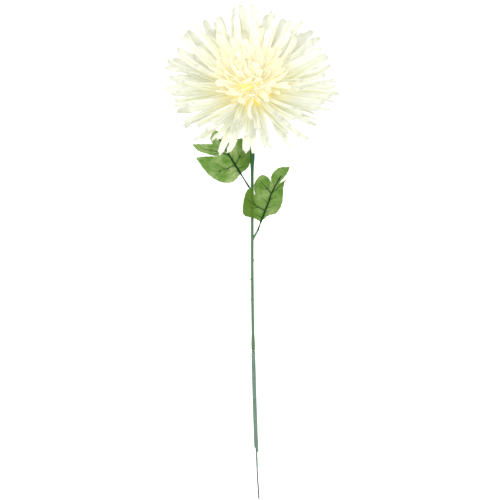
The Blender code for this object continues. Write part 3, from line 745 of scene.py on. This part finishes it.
def keep_off_bowl(point, petal):
    """Moves a point clear of the bowl surface that parts the heart from the rays."""
    if petal.bowl_side == 0:
        return point
    offset = point - HEAD_CENTRE
    height = offset.dot(AXIS)
    outward = offset - AXIS * height
    facing = outward.dot(FRONT) / max(outward.length, 0.3)
    wall = math.tan(BOWL_ANGLE + BOWL_FRONT_OPENING * facing)
    limit = BOWL_FLOOR_HEIGHT + max(0.0, outward.length - BOWL_FLOOR_RADIUS) / wall
    if petal.bowl_side > 0:
        return point + AXIS * max(0.0, limit + petal.level - height)
    return point - AXIS * max(0.0, height - limit + RAY_CLEARANCE)


def cloth_spot(petal, line, x, y):
    """Where a point of a flat strap comes to lie on its bent and rippled petal, above the floor."""
    share = min(0.9999, max(0.0, y))
    step = int(share * PETAL_STEPS)
    part = share * PETAL_STEPS - step
    point, across, face = (a.lerp(b, part) for a, b in zip(line[step], line[step + 1]))
    side = x * 2
    rise = PETAL_CHANNEL * petal.width * side * side * (1 - 0.5 * share)
    wave = math.sin(math.tau * petal.waves * share + petal.phase + side * RIPPLE_LEAN)
    rise += petal.ripple * wave * (RIPPLE_MIDDLE + abs(side)) * smooth(0.1, 0.6, share)
    drift = petal.sway * math.sin(petal.bends * share) * share
    spot = keep_off_bowl(point + across * (x * petal.width + drift) + face * rise, petal)
    floor = petal.level + FLOOR_GAP
    low = point.z - abs(across.z) * petal.width / 2
    spot.z = max(floor, spot.z + max(0.0, floor - low))
    return spot


def place_petal(blank, petal, curl, chance):
    """Copies a blank and bends the copy to its place, with its own ripples and tint."""
    cloth = new_object("petal", blank.data.copy())
    petal.curl = chance.uniform(*curl)
    petal.tip_turn = chance.uniform(-TIP_TURN, TIP_TURN)
    petal.width *= chance.uniform(*WIDTH_RANGE)
    petal.ripple = chance.uniform(*RIPPLE_DEPTH)
    petal.sway = chance.uniform(-SWAY, SWAY) * petal.length / SWAY_LENGTH
    petal.bends = chance.uniform(*SWAY_BENDS)
    petal.waves = chance.uniform(*RIPPLE_WAVES)
    petal.phase = chance.uniform(0.0, math.tau)
    line = petal_line(petal)
    for vertex in cloth.data.vertices:
        vertex.co = cloth_spot(petal, line, vertex.co.x, vertex.co.y) * MM
    tint = cloth.data.attributes.new("tint", "FLOAT", "POINT")
    tint.data.foreach_set("value", [chance.random()] * len(cloth.data.vertices))
    return cloth


def ring_petal(family, inner, azimuth, chance):
    """One petal of a ring, opened on the raised side of the head and closed on the lower one."""
    upper = max(0.0, math.cos(azimuth))
    under = max(0.0, -math.cos(azimuth))
    opening = between(family.upper_opening, inner) * upper
    opening -= between(family.under_closing, inner) * under
    kept = 1 - between(family.upper_shortening, inner) * upper**2
    bend = chance.uniform(-BEND_SPREAD, BEND_SPREAD)
    return SimpleNamespace(
        azimuth=azimuth,
        start_angle=between(family.start_angle, inner) + opening * ROOT_OPENING,
        end_angle=between(family.end_angle, inner) + opening + bend,
        length=between(family.length, inner) * kept * chance.uniform(*family.length_range),
        width=between(family.width, inner) * chance.uniform(*family.width_range),
        sweep=chance.uniform(-family.sweep, family.sweep),
        roll=chance.uniform(-family.roll, family.roll),
        twist=chance.uniform(-family.twist, family.twist),
        root_height=between(family.root_height, inner),
        root_radius=between(family.root_radius, inner),
        bowl_side=family.bowl_side,
    )


def ring_petals(family, chance):
    """A family's petals, ring by ring, each a little off its even place."""
    petals = []
    for ring in range(family.rings):
        inner = ring / (family.rings - 1)
        count = round(between(family.count, inner))
        turn = family.first_turn + family.ring_turn * ring + math.pi / count * (ring % 2)
        for place in range(count):
            azimuth = math.tau * (place + chance.uniform(-PLACE_SPREAD, PLACE_SPREAD)) / count + turn
            petal = ring_petal(family, inner, azimuth, chance)
            petal.ring = ring
            stagger = 1 + LEVEL_STAGGER * (place % 2)
            petal.level = LEVEL_STEP * (ring + family.first_level) * stagger
            petals.append(petal)
    return petals


def fit_to_outline(petal):
    """Changes a petal of the rays or the heart where the photographed outline is uneven."""
    front = math.cos(petal.azimuth)
    if petal.bowl_side < 0:
        petal.length *= 1 + UNDER_SIDE_STRETCH * max(0.0, -front)
        short = max(0.0, RIGHT_SIDE_REACH - petal.length)
        petal.length += short * RIGHT_SIDE_SHARE * max(0.0, math.sin(petal.azimuth)) ** 3
        petal.sweep -= HOOKED_SWEEP * max(0.0, math.cos(petal.azimuth - HOOKED_AZIMUTH)) ** 3
        petal.width *= 1 - FRONT_NARROWING * max(0.0, front) ** 2
    if petal.bowl_side > 0:
        petal.length *= 1 + HEART_FAR_STRETCH * max(0.0, -front)


def strap(azimuth, angles, length, width, roots, sweep=0.0, roll=0.0, twist=0.0):
    """A single strap, threaded with the innermost rays. Its roots are a height and a radius."""
    return SimpleNamespace(
        azimuth=math.radians(azimuth), start_angle=angles[0], end_angle=angles[1], length=length,
        width=width, root_height=roots[0], root_radius=roots[1], sweep=sweep, roll=roll, twist=twist,
        level=0.0, bowl_side=RAYS.bowl_side, ring=RAYS.rings - 1,
    )


def crest_straps():
    """Straps that fill between the rays on the side away from the stem."""
    chance = random.Random(CREST_SEED)
    straps = []
    for i in range(CREST_COUNT):
        start = chance.uniform(*CREST_START_ANGLE)
        straps.append(
            strap(
                between(CREST_AZIMUTH, (i + chance.uniform(0.0, 1.0)) / CREST_COUNT),
                (start, start - chance.uniform(*CREST_BEND)),
                chance.uniform(*CREST_LENGTH), chance.uniform(*CREST_WIDTH), (-1.0, 4.0),
                chance.uniform(-0.2, 0.2), chance.uniform(-0.3, 0.3), chance.uniform(-0.4, 0.4),
            )
        )
    return straps


def single_straps():
    """The straps placed on their own: the longest one, those that stand out and the crest."""
    longest = strap(187.5, (62.0, 49.0), 104.0, 5.4, (-2.0, 3.5), roll=0.2, twist=0.5)
    standouts = [
        strap(azimuth, (90.0, 104.0), length, width, (-4.0, 4.0), roll=0.1, twist=0.2)
        for azimuth, length, width in STANDOUT_STRAPS
    ]
    return [longest, *standouts, *crest_straps()]


def make_rosettes(family, petals, blanks, material, chance):
    """One cloth rosette for each ring of a family, as they are threaded on the post."""
    for ring in range(family.rings):
        placed = []
        for petal in petals:
            if petal.ring == ring:
                placed.append(place_petal(chance.choice(blanks), petal, family.curl, chance))
        rosette = thicken(join(f"{family.name}_{ring + 1}", placed), PETAL_THICKNESS)
        dress(soften(rosette, 60.0), material, *PETAL_SLOTS[family.finish])


def make_head(looks):
    """All the rosettes of the bloom. The rays and the heart take their places from one seed."""
    blanks = [
        petal_blank("blunt", (-0.018, 0.0, 0.006, 0.0, -0.018), 1.15),
        petal_blank("notched", (-0.012, 0.006, -0.014, 0.008, -0.014), 1.25),
        petal_blank("pointed", (-0.03, -0.01, 0.015, -0.01, -0.03), 0.7),
        petal_blank("slanted", (-0.03, -0.012, 0.0, 0.008, 0.0), 1.1),
    ]
    places = random.Random(HEAD_SEED)
    for family in (RAYS, HEART, RUFF, HEART_FILL, BUD, CORE):
        chance = random.Random(family.seed)
        petals = ring_petals(family, places if family.bowl_side else chance)
        for petal in petals:
            fit_to_outline(petal)
        if family is RAYS:
            petals += single_straps()
        make_rosettes(family, petals, blanks, getattr(looks, family.finish), chance)
    for blank in blanks:
        bpy.data.objects.remove(blank)


# Hubs and calyx, modelled upright at the world's origin


def turn_to_head(piece):
    """Moves an upright piece onto the head's axis."""
    turn = Matrix((RIGHT, -FRONT, AXIS)).transposed().to_4x4()
    piece.data.transform(Matrix.Translation(HEAD_CENTRE * MM) @ turn)
    return piece


def lathe(name, profile, sides):
    """A piece turned about +Z from (radius, height) points, by spinning a profile in edit mode."""
    spots = [(radius * MM, 0.0, height * MM) for radius, height in profile]
    piece = new_mesh_object(name, spots, [(i, i + 1) for i in range(len(spots) - 1)], [])
    start_edit(piece)
    bpy.ops.mesh.spin(steps=sides, angle=math.tau, center=(0, 0, 0), axis=(0, 0, 1))
    bpy.ops.mesh.select_all(action="SELECT")
    bpy.ops.mesh.remove_doubles(threshold=0.00001)
    bpy.ops.mesh.normals_make_consistent(inside=False)
    end_edit()
    return piece


def make_hubs(looks):
    """Plastic hubs that the petals are fused to, mostly hidden among them."""
    ray_profile = (
        (0, -11.6), (8.6, -11.6), (9.4, -11.0), (11.8, -8.4), (12, -7), (12, -2), (11.6, -0.8),
        (9, 1.8), (0, 1.8),
    )
    ray_hub = lathe("ray_hub", ray_profile, 40)
    dress(soften(turn_to_head(ray_hub)), looks.ray, *PETAL_SLOTS["ray"])
    heart_profile = (
        (0, 2.4), (4.6, 2.4), (5.4, 2.8), (7.4, 5.6), (8.8, 9), (8.4, 12.4), (7.2, 15), (5.0, 17),
        (2.6, 18), (0, 18.3),
    )
    heart_hub = lathe("heart_hub", heart_profile, 32)
    dress(soften(turn_to_head(heart_hub)), looks.core, *PETAL_SLOTS["core"])


def make_calyx(material):
    """Green cup with ribbed sides and a ring of sepals that clasp the petals' roots."""
    profile = (
        (0, -26.6), (2.6, -26.6), (3.4, -26.2), (3.8, -25.2), (4.1, -23), (5.2, -20.8), (7.4, -18.4),
        (9.8, -16.4), (11.6, -14.6), (12.4, -13.4), (12.5, -12.6), (12.1, -12.3), (0, -12.3),
    )
    cup = lathe("calyx_cup", profile, 48)
    for vertex in cup.data.vertices:
        x, y, z = vertex.co / MM
        if x or y:
            flute = FLUTE_DEPTH * math.cos(SEPALS * math.atan2(y, x)) * smooth(-25.0, -17.0, z)
            vertex.co.x *= 1 + flute
            vertex.co.y *= 1 + flute
    sepals = [make_sepal(math.tau * (i + 0.5) / SEPALS) for i in range(SEPALS)]
    calyx = turn_to_head(join("calyx_cup", [cup, *sepals]))
    dress(soften(calyx), material, "calyx_green", "calyx")


def make_sepal(azimuth):
    """A small pointed sepal from a grid, pressed against the cup's side."""
    sepal = new_grid("sepal", 4, 6)
    outward = Vector((math.cos(azimuth), math.sin(azimuth), 0.0))
    aside = Vector((-outward.y, outward.x, 0.0))
    up = Vector((0.0, 0.0, 1.0))
    for vertex in sepal.data.vertices:
        share = vertex.co.y
        width = SEPAL_WIDTH * math.sin(math.pi * min(1.0, 0.25 + 0.75 * share)) ** 0.8
        radius = between(SEPAL_RADII, share**0.8) + SEPAL_GAP
        height = between(SEPAL_HEIGHTS, share**1.15)
        bulge = SEPAL_BULGE * (1 - (2 * vertex.co.x) ** 2)
        vertex.co = (outward * (radius + bulge) + aside * vertex.co.x * width + up * height) * MM
    return thicken(sepal, SEPAL_THICKNESS)


# Leaves


def leaf_height(leaf, x, y):
    """Height of a leaf's middle surface: pitched along the midrib, drooping and waved beside it."""
    tip = Vector(leaf.midrib[-1]).normalized()
    along = x * tip.x + y * tip.y
    aside = x * tip.y - y * tip.x
    ripple = leaf.wave * math.sin(along / RIPPLE_LENGTH) * min(1.0, abs(aside) / RIPPLE_START)
    return leaf.base.z + leaf.pitch * along - leaf.droop * aside**2 + ripple


def crease_height(x, y):
    """Height of the fine creases of handled cloth."""
    return sum(depth * noise.noise(Vector((x, y, layer)) / size) for depth, layer, size in CREASES)


def vein_points(leaf):
    """Points close together along the leaf's pressed veins, each with its share of the full depth."""
    points = []
    for vein in leaf.veins:
        line = curved(vein, VEIN_PARTS)
        points += [(point, 1 - VEIN_FADE * (i / len(line)) ** 2) for i, point in enumerate(line)]
    return points


def leaf_edge(leaf):
    """The leaf's outline, with the small scallops of pinked cloth."""
    edge = [point for stretch in leaf.stretches for point in curved(stretch, EDGE_PARTS)[:-1]]
    made = []
    for i, point in enumerate(edge):
        before, after = edge[i - 1], edge[(i + 1) % len(edge)]
        out = (after - before).orthogonal().normalized()
        made.append(point + out * SCALLOP_DEPTH * math.sin(i * SCALLOP_TURN))
    return made


def leaf_net(edge, inner):
    """Flat points and faces of a blade, through its edge, its veins and an even grid between them."""
    taken = edge + inner
    reach = range(-LEAF_GRID_REACH, LEAF_GRID_REACH + 1)
    for column in reach:
        for row in reach:
            spot = Vector((column + row % 2 / 2, row * LEAF_GRID_ROW)) * LEAF_GRID
            if min((spot - other).length for other in taken) > LEAF_GRID * LEAF_GRID_CLEAR:
                inner.append(spot)
    flat, _, faces, *_ = delaunay_2d_cdt(edge + inner, [], [list(range(len(edge)))], 1, 0.01)
    used = sorted({i for face in faces for i in face})
    order = {old: new for new, old in enumerate(used)}
    return [flat[i] for i in used], [[order[i] for i in face] for face in faces]


def make_leaf(name, leaf, material, node):
    """A thin lobed cloth blade with pressed veins and fine creases."""
    veins = vein_points(leaf)
    flat, faces = leaf_net(leaf_edge(leaf), [point for point, _ in veins])
    spots = []
    pressed = []
    shaded = []
    for place in flat:
        x, y = place
        near, depth = min(((place - point).length, depth) for point, depth in veins)
        groove = depth * (1 - smooth(0.0, VEIN_WIDTH, near))
        height = leaf_height(leaf, x, y) + crease_height(x, y) - VEIN_DEPTH * groove
        spots.append(Vector((leaf.base.x + x, leaf.base.y + y, height)) * MM)
        pressed.append(groove)
        # painted shade: the stem's shadow under the blade, the blade's shaded side and an even
        # darkening of the whole blade
        stem_shadow = max(0.0, 1 - abs(leaf.base.x + x - STEM_X) / STEM_SHADE_REACH)
        shade = leaf.dark + SHADED_SIDE * smooth(*leaf.shade_side_span, x) + leaf.stem_shade * stem_shadow
        shaded.append(min(1.0, shade))
    blade = new_mesh_object(name, spots, [], faces)
    mesh = blade.data
    mesh.attributes.new("vein", "FLOAT", "POINT").data.foreach_set("value", pressed)
    mesh.attributes.new("shade", "FLOAT", "POINT").data.foreach_set("value", shaded)
    layer = mesh.uv_layers.new(name="UVMap")
    for loop in mesh.loops:
        layer.data[loop.index].uv = Vector(spots[loop.vertex_index][:2]) * 10
    dress(soften(thicken(blade, LEAF_THICKNESS), 60.0), material, "leaf_green", node)


def rib_path(leaf, rib, lift):
    """Points of a rib that lies just above the solid blade, with its middle lifted so far."""
    points = []
    for x, y in rib:
        height = leaf_height(leaf, x, y) + CAD_LEAF_THICKNESS / 2 + RIB_GAP + lift
        points.append(Vector((leaf.base.x + x, leaf.base.y + y, height)))
    return points


def make_rib(name, leaf, material, node):
    """Moulded stalk and ribs: a thick socket at the peg, a thin neck, ribs that taper to their tips."""
    stalk_end = leaf.peg_tip + (leaf.peg_tip - leaf.peg_foot).normalized() * PEG_GAP
    blade = rib_path(leaf, leaf.midrib, MIDRIB_LIFT)
    path = curved([stalk_end, stalk_end.lerp(blade[0], 0.5), *blade], RIB_PARTS)
    length = path_length(path)
    stalk = path_length(path[: 2 * RIB_PARTS + 1])
    profile = [
        (0.0, 0.95), (0.4, 1.05), (stalk * 0.22, 1.0), (stalk * 0.4, 0.9), (stalk * 0.62, 0.72),
        (stalk * 0.86, 0.76), (stalk, 1.05),
    ]
    profile += [(between((stalk, length), i / 14), between((1.15, 0.45), i / 14)) for i in range(1, 14)]
    profile += [(length - 0.4, 0.3), (length, 0.12)]
    rods = [lay_rod(turned_rod(name, profile, 12), path)]
    for side_rib in leaf.side_ribs:
        side_path = curved(rib_path(leaf, side_rib, SIDE_RIB_LIFT), RIB_PARTS)
        reach = path_length(side_path)
        taper = [(reach * i / 10, between((0.5, 0.2), i / 10)) for i in range(10)] + [(reach, 0.08)]
        rods.append(lay_rod(turned_rod("side_rib", taper, 10), side_path))
    dress(soften(join(name, rods)), material, "rib_green", node)


# Nodes


def colour(red, green, blue):
    """A linear colour from sRGB bytes."""
    return (*[((byte / 255 + 0.055) / 1.055) ** 2.4 for byte in (red, green, blue)], 1.0)


def add(tree, kind, inputs=None, **settings):
    """Adds a shader node, with values or links for its inputs."""
    made = tree.nodes.new("ShaderNode" + kind)
    for name, value in settings.items():
        setattr(made, name, value)
    for socket, value in (inputs or {}).items():
        if isinstance(value, bpy.types.NodeSocket):
            tree.links.new(value, made.inputs[socket])
        else:
            made.inputs[socket].default_value = value
    return made


def math_node(tree, operation, *values, clamp=False):
    """The output of one arithmetic step."""
    inputs = dict(enumerate(values))
    return add(tree, "Math", inputs, operation=operation, use_clamp=clamp).outputs[0]


def product(tree, *values):
    """The output of a product of two or more values."""
    result = values[0]
    for value in values[1:]:
        result = math_node(tree, "MULTIPLY", result, value)
    return result


def distance(tree, first, second):
    """The output of how far apart two values are."""
    return math_node(tree, "ABSOLUTE", math_node(tree, "SUBTRACT", first, second))


def ease(tree, value, low, high):
    """The output of a smooth step from low to high."""
    inputs = {"Value": value, "From Min": low, "From Max": high}
    return add(tree, "MapRange", inputs, interpolation_type="SMOOTHSTEP").outputs[0]


def blend(tree, share, first, second, mode="MIX"):
    """The output of a colour mix."""
    inputs = {0: share, 6: first, 7: second}
    return add(tree, "Mix", inputs, data_type="RGBA", blend_type=mode).outputs[2]


def coordinates(tree, kind):
    """The output of a kind of texture coordinates."""
    return add(tree, "TexCoord").outputs[kind]


def across_and_along(tree, kind):
    """How far across and how far along a place is, in a kind of coordinates."""
    parts = add(tree, "SeparateXYZ", {0: coordinates(tree, kind)}).outputs
    return parts[0], parts[1]


def attribute(tree, name):
    """The output of a value that is stored in the mesh."""
    return add(tree, "Attribute", attribute_name=name).outputs["Fac"]


def use_group(tree, group, inputs):
    """The outputs of a node group, placed with these inputs."""
    return add(tree, "Group", inputs, node_tree=group).outputs


def patches(tree, mottle, scale, contrast):
    """The output of soft uneven patches."""
    return use_group(tree, mottle, {"Scale": scale, "Contrast": contrast})[0]


def new_group(name, inputs, outputs):
    """A node group with named sockets, and its input and output nodes."""
    group = bpy.data.node_groups.new(name, "ShaderNodeTree")
    for socket, kind in inputs.items():
        group.interface.new_socket(socket, in_out="INPUT", socket_type="NodeSocket" + kind)
    for socket, kind in outputs.items():
        group.interface.new_socket(socket, in_out="OUTPUT", socket_type="NodeSocket" + kind)
    return group, group.nodes.new("NodeGroupInput").outputs, group.nodes.new("NodeGroupOutput").inputs


# Effects that several materials share


def weave_group():
    """Plain weave: rows of threads that pass over and under each other."""
    group, given, out = new_group("plain weave", {"Threads": "Vector"}, {"Height": "Float"})
    inputs = {0: coordinates(group, "UV"), 1: given["Threads"]}
    threads = add(group, "VectorMath", inputs, operation="MULTIPLY").outputs[0]
    split = add(group, "SeparateXYZ", {0: threads}).outputs
    both = product(group, *(math_node(group, "SINE", split[i]) for i in (0, 1)))
    group.links.new(math_node(group, "MULTIPLY_ADD", both, 0.5, 0.5), out["Height"])
    return group


def mottle_group():
    """Soft uneven patches over a surface, from dark to light."""
    group, given, out = new_group("mottle", {"Scale": "Float", "Contrast": "Float"}, {"Value": "Float"})
    inputs = {"Vector": coordinates(group, "Object"), "Scale": given["Scale"], "Detail": 4.0}
    cloud = add(group, "TexNoise", inputs).outputs[0]
    spread = product(group, math_node(group, "SUBTRACT", cloud, 0.5), given["Contrast"])
    group.links.new(math_node(group, "ADD", spread, 0.5, clamp=True), out["Value"])
    return group


def painted_fold_shade(group, across, along, tint):
    """Painted shade along the pressed fold of a petal, on its own side of the middle and more or less
    sharp.
    """
    fold_at = math_node(group, "MULTIPLY_ADD", tint, 0.6, 0.2)
    near = ease(group, distance(group, across, fold_at), 0.2, 0.03)
    fold_shade = product(group, near, ease(group, along, 0.1, 0.4), ease(group, along, 1.0, 0.7))
    return product(group, fold_shade, math_node(group, "FRACT", product(group, tint, 7.0)))


def petal_tone_group(mottle):
    """A petal's colour: deep yellow at the heart, then cream, then white, with a painted green-grey
    shade at its sides and tip.
    """
    group, given, out = new_group(
        "petal tone",
        {"Root": "Color", "Middle": "Color", "Tip": "Color", "Edge Shade And Blotches": "Color",
         "Root Reach": "Float", "Middle Reach": "Float"},
        {"Colour": "Color", "Glow": "Color", "Pleats": "Float"},
    )
    across, along = across_and_along(group, "UV")
    tint = attribute(group, "tint")
    reach = math_node(group, "ADD", along, product(group, patches(group, mottle, 60.0, 2.0), 0.12))
    first = ease(group, reach, 0.12, given["Root Reach"])
    second = ease(group, reach, given["Root Reach"], given["Middle Reach"])
    tone = blend(group, second, blend(group, first, given["Root"], given["Middle"]), given["Tip"])
    # painted shade: the sides of some petals and every tip darken to a green-grey; random blotches take
    # the same colour
    side = ease(group, distance(group, across, 0.5), 0.3, 0.5)
    rim_shade = product(group, side, ease(group, along, 0.15, 0.8), tint)
    edge = math_node(group, "MAXIMUM", rim_shade, ease(group, along, 0.82, 1.0))
    tone = blend(group, product(group, edge, 0.6), tone, given["Edge Shade And Blotches"])
    blotches = product(group, patches(group, mottle, 85.0, 3.5), ease(group, along, 0.2, 0.6), 0.2)
    tone = blend(group, blotches, tone, given["Edge Shade And Blotches"])
    fold_shade = painted_fold_shade(group, across, along, tint)
    # painted shade: a yellow-green line along the fold of each petal
    tone = blend(group, product(group, fold_shade, 0.75), tone, colour(*FOLD_SHADE_TONE))
    pleats = math_node(group, "SINE", product(group, across, 31.0))
    pleats = math_node(group, "MULTIPLY_ADD", pleats, 0.5, 0.5)
    shade = math_node(group, "MULTIPLY_ADD", tint, 0.07, PETAL_BRIGHTNESS)
    bright = math_node(group, "MULTIPLY_ADD", pleats, 0.02, shade)
    grey = add(group, "CombineXYZ", {i: bright for i in range(3)}).outputs[0]
    group.links.new(blend(group, 1.0, tone, grey, "MULTIPLY"), out["Colour"])
    group.links.new(blend(group, first, given["Root"], colour(*GLOW_TONE)), out["Glow"])
    group.links.new(pleats, out["Pleats"])
    return group


# Materials


def new_material(name, roughness, specular, metallic=0.0):
    """A material with its tree and the inputs of its shader."""
    material = bpy.data.materials.new(name)
    material.use_nodes = True
    shader = material.node_tree.nodes["Principled BSDF"].inputs
    shader["Roughness"].default_value = roughness
    shader["Specular IOR Level"].default_value = specular
    shader["Metallic"].default_value = metallic
    return material, material.node_tree, shader


def bump(tree, height, depth):
    """The normal of a bumped surface, with the height's full range in millimetres."""
    inputs = {"Height": height, "Distance": depth * MM, "Strength": 1.0}
    return add(tree, "Bump", inputs).outputs[0]


def let_light_through(tree, tone, share):
    """Mixes in the light that thin cloth passes."""
    solid = tree.nodes["Principled BSDF"].outputs[0]
    through = add(tree, "BsdfTranslucent", {"Color": tone}).outputs[0]
    mixed = add(tree, "MixShader", {0: share, 1: solid, 2: through}).outputs[0]
    tree.links.new(mixed, tree.nodes["Material Output"].inputs[0])


def petal_material(name, groups, tones, reaches, through, glow):
    """Woven petal cloth, matt and a little see-through.

    Its faint glow stands for the light that many thin layers of cloth pass on.
    """
    material, tree, shader = new_material(name, 0.8, 0.25)
    inputs = {socket: colour(*tone) for socket, tone in zip(("Root", "Middle", "Tip", "Edge Shade And Blotches"), tones)}
    inputs |= dict(zip(("Root Reach", "Middle Reach"), reaches))
    tone = use_group(tree, groups.petal_tone, inputs)
    weave = use_group(tree, groups.weave, {"Threads": PETAL_THREADS})[0]
    height = math_node(tree, "MULTIPLY_ADD", tone["Pleats"], 3.0, weave)
    tree.links.new(bump(tree, height, 0.05), shader["Normal"])
    tree.links.new(tone["Colour"], shader["Base Color"])
    tree.links.new(tone["Glow"], shader["Emission Color"])
    shader["Emission Strength"].default_value = glow
    shader["Sheen Weight"].default_value = 0.08
    let_light_through(tree, tone["Colour"], through)
    return material


def leaf_material(groups):
    """Printed leaf cloth: uneven greens, darker along the pressed veins, and darkened by painted shade
    on one side of each blade, over the stem and over the whole right leaf.
    """
    material, tree, shader = new_material("leaf cloth", 0.72, 0.3)
    pale = patches(tree, groups.mottle, 75.0, 3.0)
    tone = blend(tree, pale, colour(93, 144, 39), colour(174, 198, 128))
    specks = patches(tree, groups.mottle, 420.0, 2.2)
    tone = blend(tree, product(tree, specks, 0.6), tone, colour(91, 130, 47))
    # painted shade: the blade's shade value darkens it to a deep yellow-green
    tone = blend(tree, attribute(tree, "shade"), tone, colour(77, 115, 7))
    vein = ease(tree, attribute(tree, "vein"), 0.35, 1.0)
    tone = blend(tree, product(tree, vein, 0.8), tone, colour(29, 64, 13))
    weave = use_group(tree, groups.weave, {"Threads": LEAF_THREADS})[0]
    tree.links.new(tone, shader["Base Color"])
    tree.links.new(bump(tree, weave, 0.06), shader["Normal"])
    let_light_through(tree, tone, 0.22)
    return material


def plastic_material(name, mottle, dark, light, roughness=0.5, specular=0.35, metallic=0.0, marks=None):
    """Moulded plastic or dull wire: uneven colour, fine scratches and marks of its own."""
    material, tree, shader = new_material(name, roughness, specular, metallic)
    tone = blend(tree, patches(tree, mottle, 160.0, 1.6), colour(*dark), colour(*light))
    grain = patches(tree, mottle, 1800.0, 2.0)
    rough = math_node(tree, "MULTIPLY_ADD", grain, 0.2, roughness - 0.1)
    tree.links.new(marks(tree, tone) if marks else tone, shader["Base Color"])
    tree.links.new(rough, shader["Roughness"])
    tree.links.new(bump(tree, grain, 0.05), shader["Normal"])
    return material


def band(tree, low, high):
    """1 between two places along Y, in millimetres, with soft ends."""
    _, along = across_and_along(tree, "Object")
    rise = ease(tree, along, (low - BAND_SOFTNESS) * MM, low * MM)
    return product(tree, rise, ease(tree, along, (high + BAND_SOFTNESS) * MM, high * MM))


def stem_marks(tree, tone):
    """Painted shade on the stem: deeper green near the head, where leaves and petals shade it, and a
    dark band over its grooved foot, with a painted highlight on the raised ring.
    """
    _, along = across_and_along(tree, "Object")
    # painted shade: darker green near the head, under the leaves and petals
    head_end_shade = ease(tree, along, *(place * MM for place in STEM_SHADE_SPAN))
    tone = blend(tree, head_end_shade, tone, colour(18, 77, 24))
    # painted shade: a dark band over the grooves of the foot
    tone = blend(tree, band(tree, *STEM_FOOT_SHADE_BAND), tone, colour(39, 69, 40))
    # painted highlight: a pale band on the raised ring between the grooves
    return blend(tree, band(tree, *STEM_RING_HIGHLIGHT_BAND), tone, colour(118, 149, 104))


def sleeve_marks(tree, tone, mottle):
    """Light specks near the sleeve's top, and the painted highlight along its pinch."""
    light_specks = ease(tree, patches(tree, mottle, 1000.0, 3.0), 0.6, 0.9)
    specked_top = product(tree, light_specks, band(tree, *SLEEVE_SPECKLED_BAND))
    # painted highlight: a pale line along the pinch's groove
    pinch_highlight = product(tree, band(tree, *SLEEVE_PINCH_HIGHLIGHT_BAND), 0.3)
    specks_and_highlight = math_node(tree, "MAXIMUM", specked_top, pinch_highlight)
    return blend(tree, specks_and_highlight, tone, colour(154, 166, 149))


def make_materials():
    """All the finishes of the flower."""
    mottle = mottle_group()
    groups = SimpleNamespace(weave=weave_group(), mottle=mottle, petal_tone=petal_tone_group(mottle))
    return SimpleNamespace(
        # Each petal's tones: root, middle, tip, and the painted green-grey shade of its sides and tip
        ray=petal_material(
            "ray cloth", groups,
            ((249, 232, 126), (249, 246, 220), (245, 246, 241), (208, 212, 197)),
            reaches=(0.3, 0.65), through=0.33, glow=0.5,
        ),
        heart=petal_material(
            "heart cloth", groups,
            ((253, 237, 144), (254, 250, 230), (254, 250, 240), (248, 245, 228)),
            reaches=(0.36, 0.72), through=0.38, glow=0.66,
        ),
        core=petal_material(
            "core cloth", groups,
            ((254, 229, 108), (254, 249, 218), (254, 250, 236), (250, 246, 222)),
            reaches=(0.42, 0.8), through=0.38, glow=0.66,
        ),
        leaf=leaf_material(groups),
        stem=plastic_material("stem plastic", mottle, (63, 101, 61), (83, 118, 82), marks=stem_marks),
        sleeve=plastic_material(
            "sleeve plastic", mottle, (80, 107, 90), (106, 130, 113),
            marks=lambda tree, tone: sleeve_marks(tree, tone, mottle),
        ),
        calyx=plastic_material("calyx plastic", mottle, (47, 80, 39), (71, 104, 56)),
        rib=plastic_material("rib plastic", mottle, (2, 39, 2), (13, 66, 12), specular=0.12),
        wire=plastic_material("bare wire", mottle, (71, 73, 72), (104, 107, 106), 0.42, metallic=0.85),
    )


# Floor, light and camera


def make_stage():
    """A plain pale floor that fills the view and glows faintly, as a light table does."""
    bpy.ops.mesh.primitive_plane_add(size=60.0, location=(0.0, 0.0, FLOOR_HEIGHT * MM))
    floor = bpy.context.object
    floor.name = "floor"
    material, tree, shader = new_material("pale floor", 0.9, 0.1)
    shader["Base Color"].default_value = (*[FLOOR_TONE] * 3, 1.0)
    shader["Emission Color"].default_value = (1.0, 1.0, 1.0, 1.0)
    seen = add(tree, "LightPath").outputs["Is Camera Ray"]
    tree.links.new(product(tree, seen, FLOOR_GLOW), shader["Emission Strength"])
    floor.data.materials.append(material)


def make_light(name, place, size, energy):
    """A soft square lamp aimed at the flower."""
    data = bpy.data.lights.new(name, "AREA")
    data.shape = "SQUARE"
    data.size = size
    data.energy = energy
    lamp = new_object(name, data)
    lamp.location = place
    aim = LAMP_TARGET - lamp.location
    lamp.rotation_euler = aim.to_track_quat("-Z", "Y").to_euler()


def make_lights():
    """Even light from all round, with a soft lamp from the upper left and a weaker one opposite."""
    world = bpy.data.worlds.new("studio")
    world.use_nodes = True
    background = world.node_tree.nodes["Background"].inputs
    background["Color"].default_value = (1.0, 1.0, 1.0, 1.0)
    background["Strength"].default_value = ROOM_LIGHT
    bpy.context.scene.world = world
    for lamp in LAMPS:
        make_light(*lamp)


def make_camera():
    """Looks straight down from far off, so that the flower fills the picture as in the photograph."""
    data = bpy.data.cameras.new("camera")
    data.sensor_width = 36.0
    data.lens = data.sensor_width * CAMERA_HEIGHT / (PHOTO_SIDE * MM_PER_PIXEL * MM)
    data.clip_start = 0.1
    data.clip_end = 20.0
    camera = new_object("camera", data)
    camera.location = (PHOTO_CENTRE[0] * MM, PHOTO_CENTRE[1] * MM, CAMERA_HEIGHT)
    bpy.context.scene.camera = camera
    bpy.context.scene.view_settings.view_transform = "Standard"


def main():
    """Builds the pieces, then the stage."""
    looks = make_materials()
    make_stem(looks.stem)
    make_sleeve(looks.sleeve)
    make_bare_wire(looks.wire)
    make_wire_coat(looks.sleeve)
    make_head(looks)
    make_hubs(looks)
    make_calyx(looks.calyx)
    make_leaf("left_leaf_cloth", LEFT_LEAF, looks.leaf, "leaf_left")
    make_leaf("right_leaf_cloth", RIGHT_LEAF, looks.leaf, "leaf_right")
    make_rib("left_leaf_stalk", LEFT_LEAF, looks.rib, "leaf_left_rib")
    make_rib("right_leaf_stalk", RIGHT_LEAF, looks.rib, "leaf_right_rib")
    make_stage()
    make_lights()
    make_camera()


main()
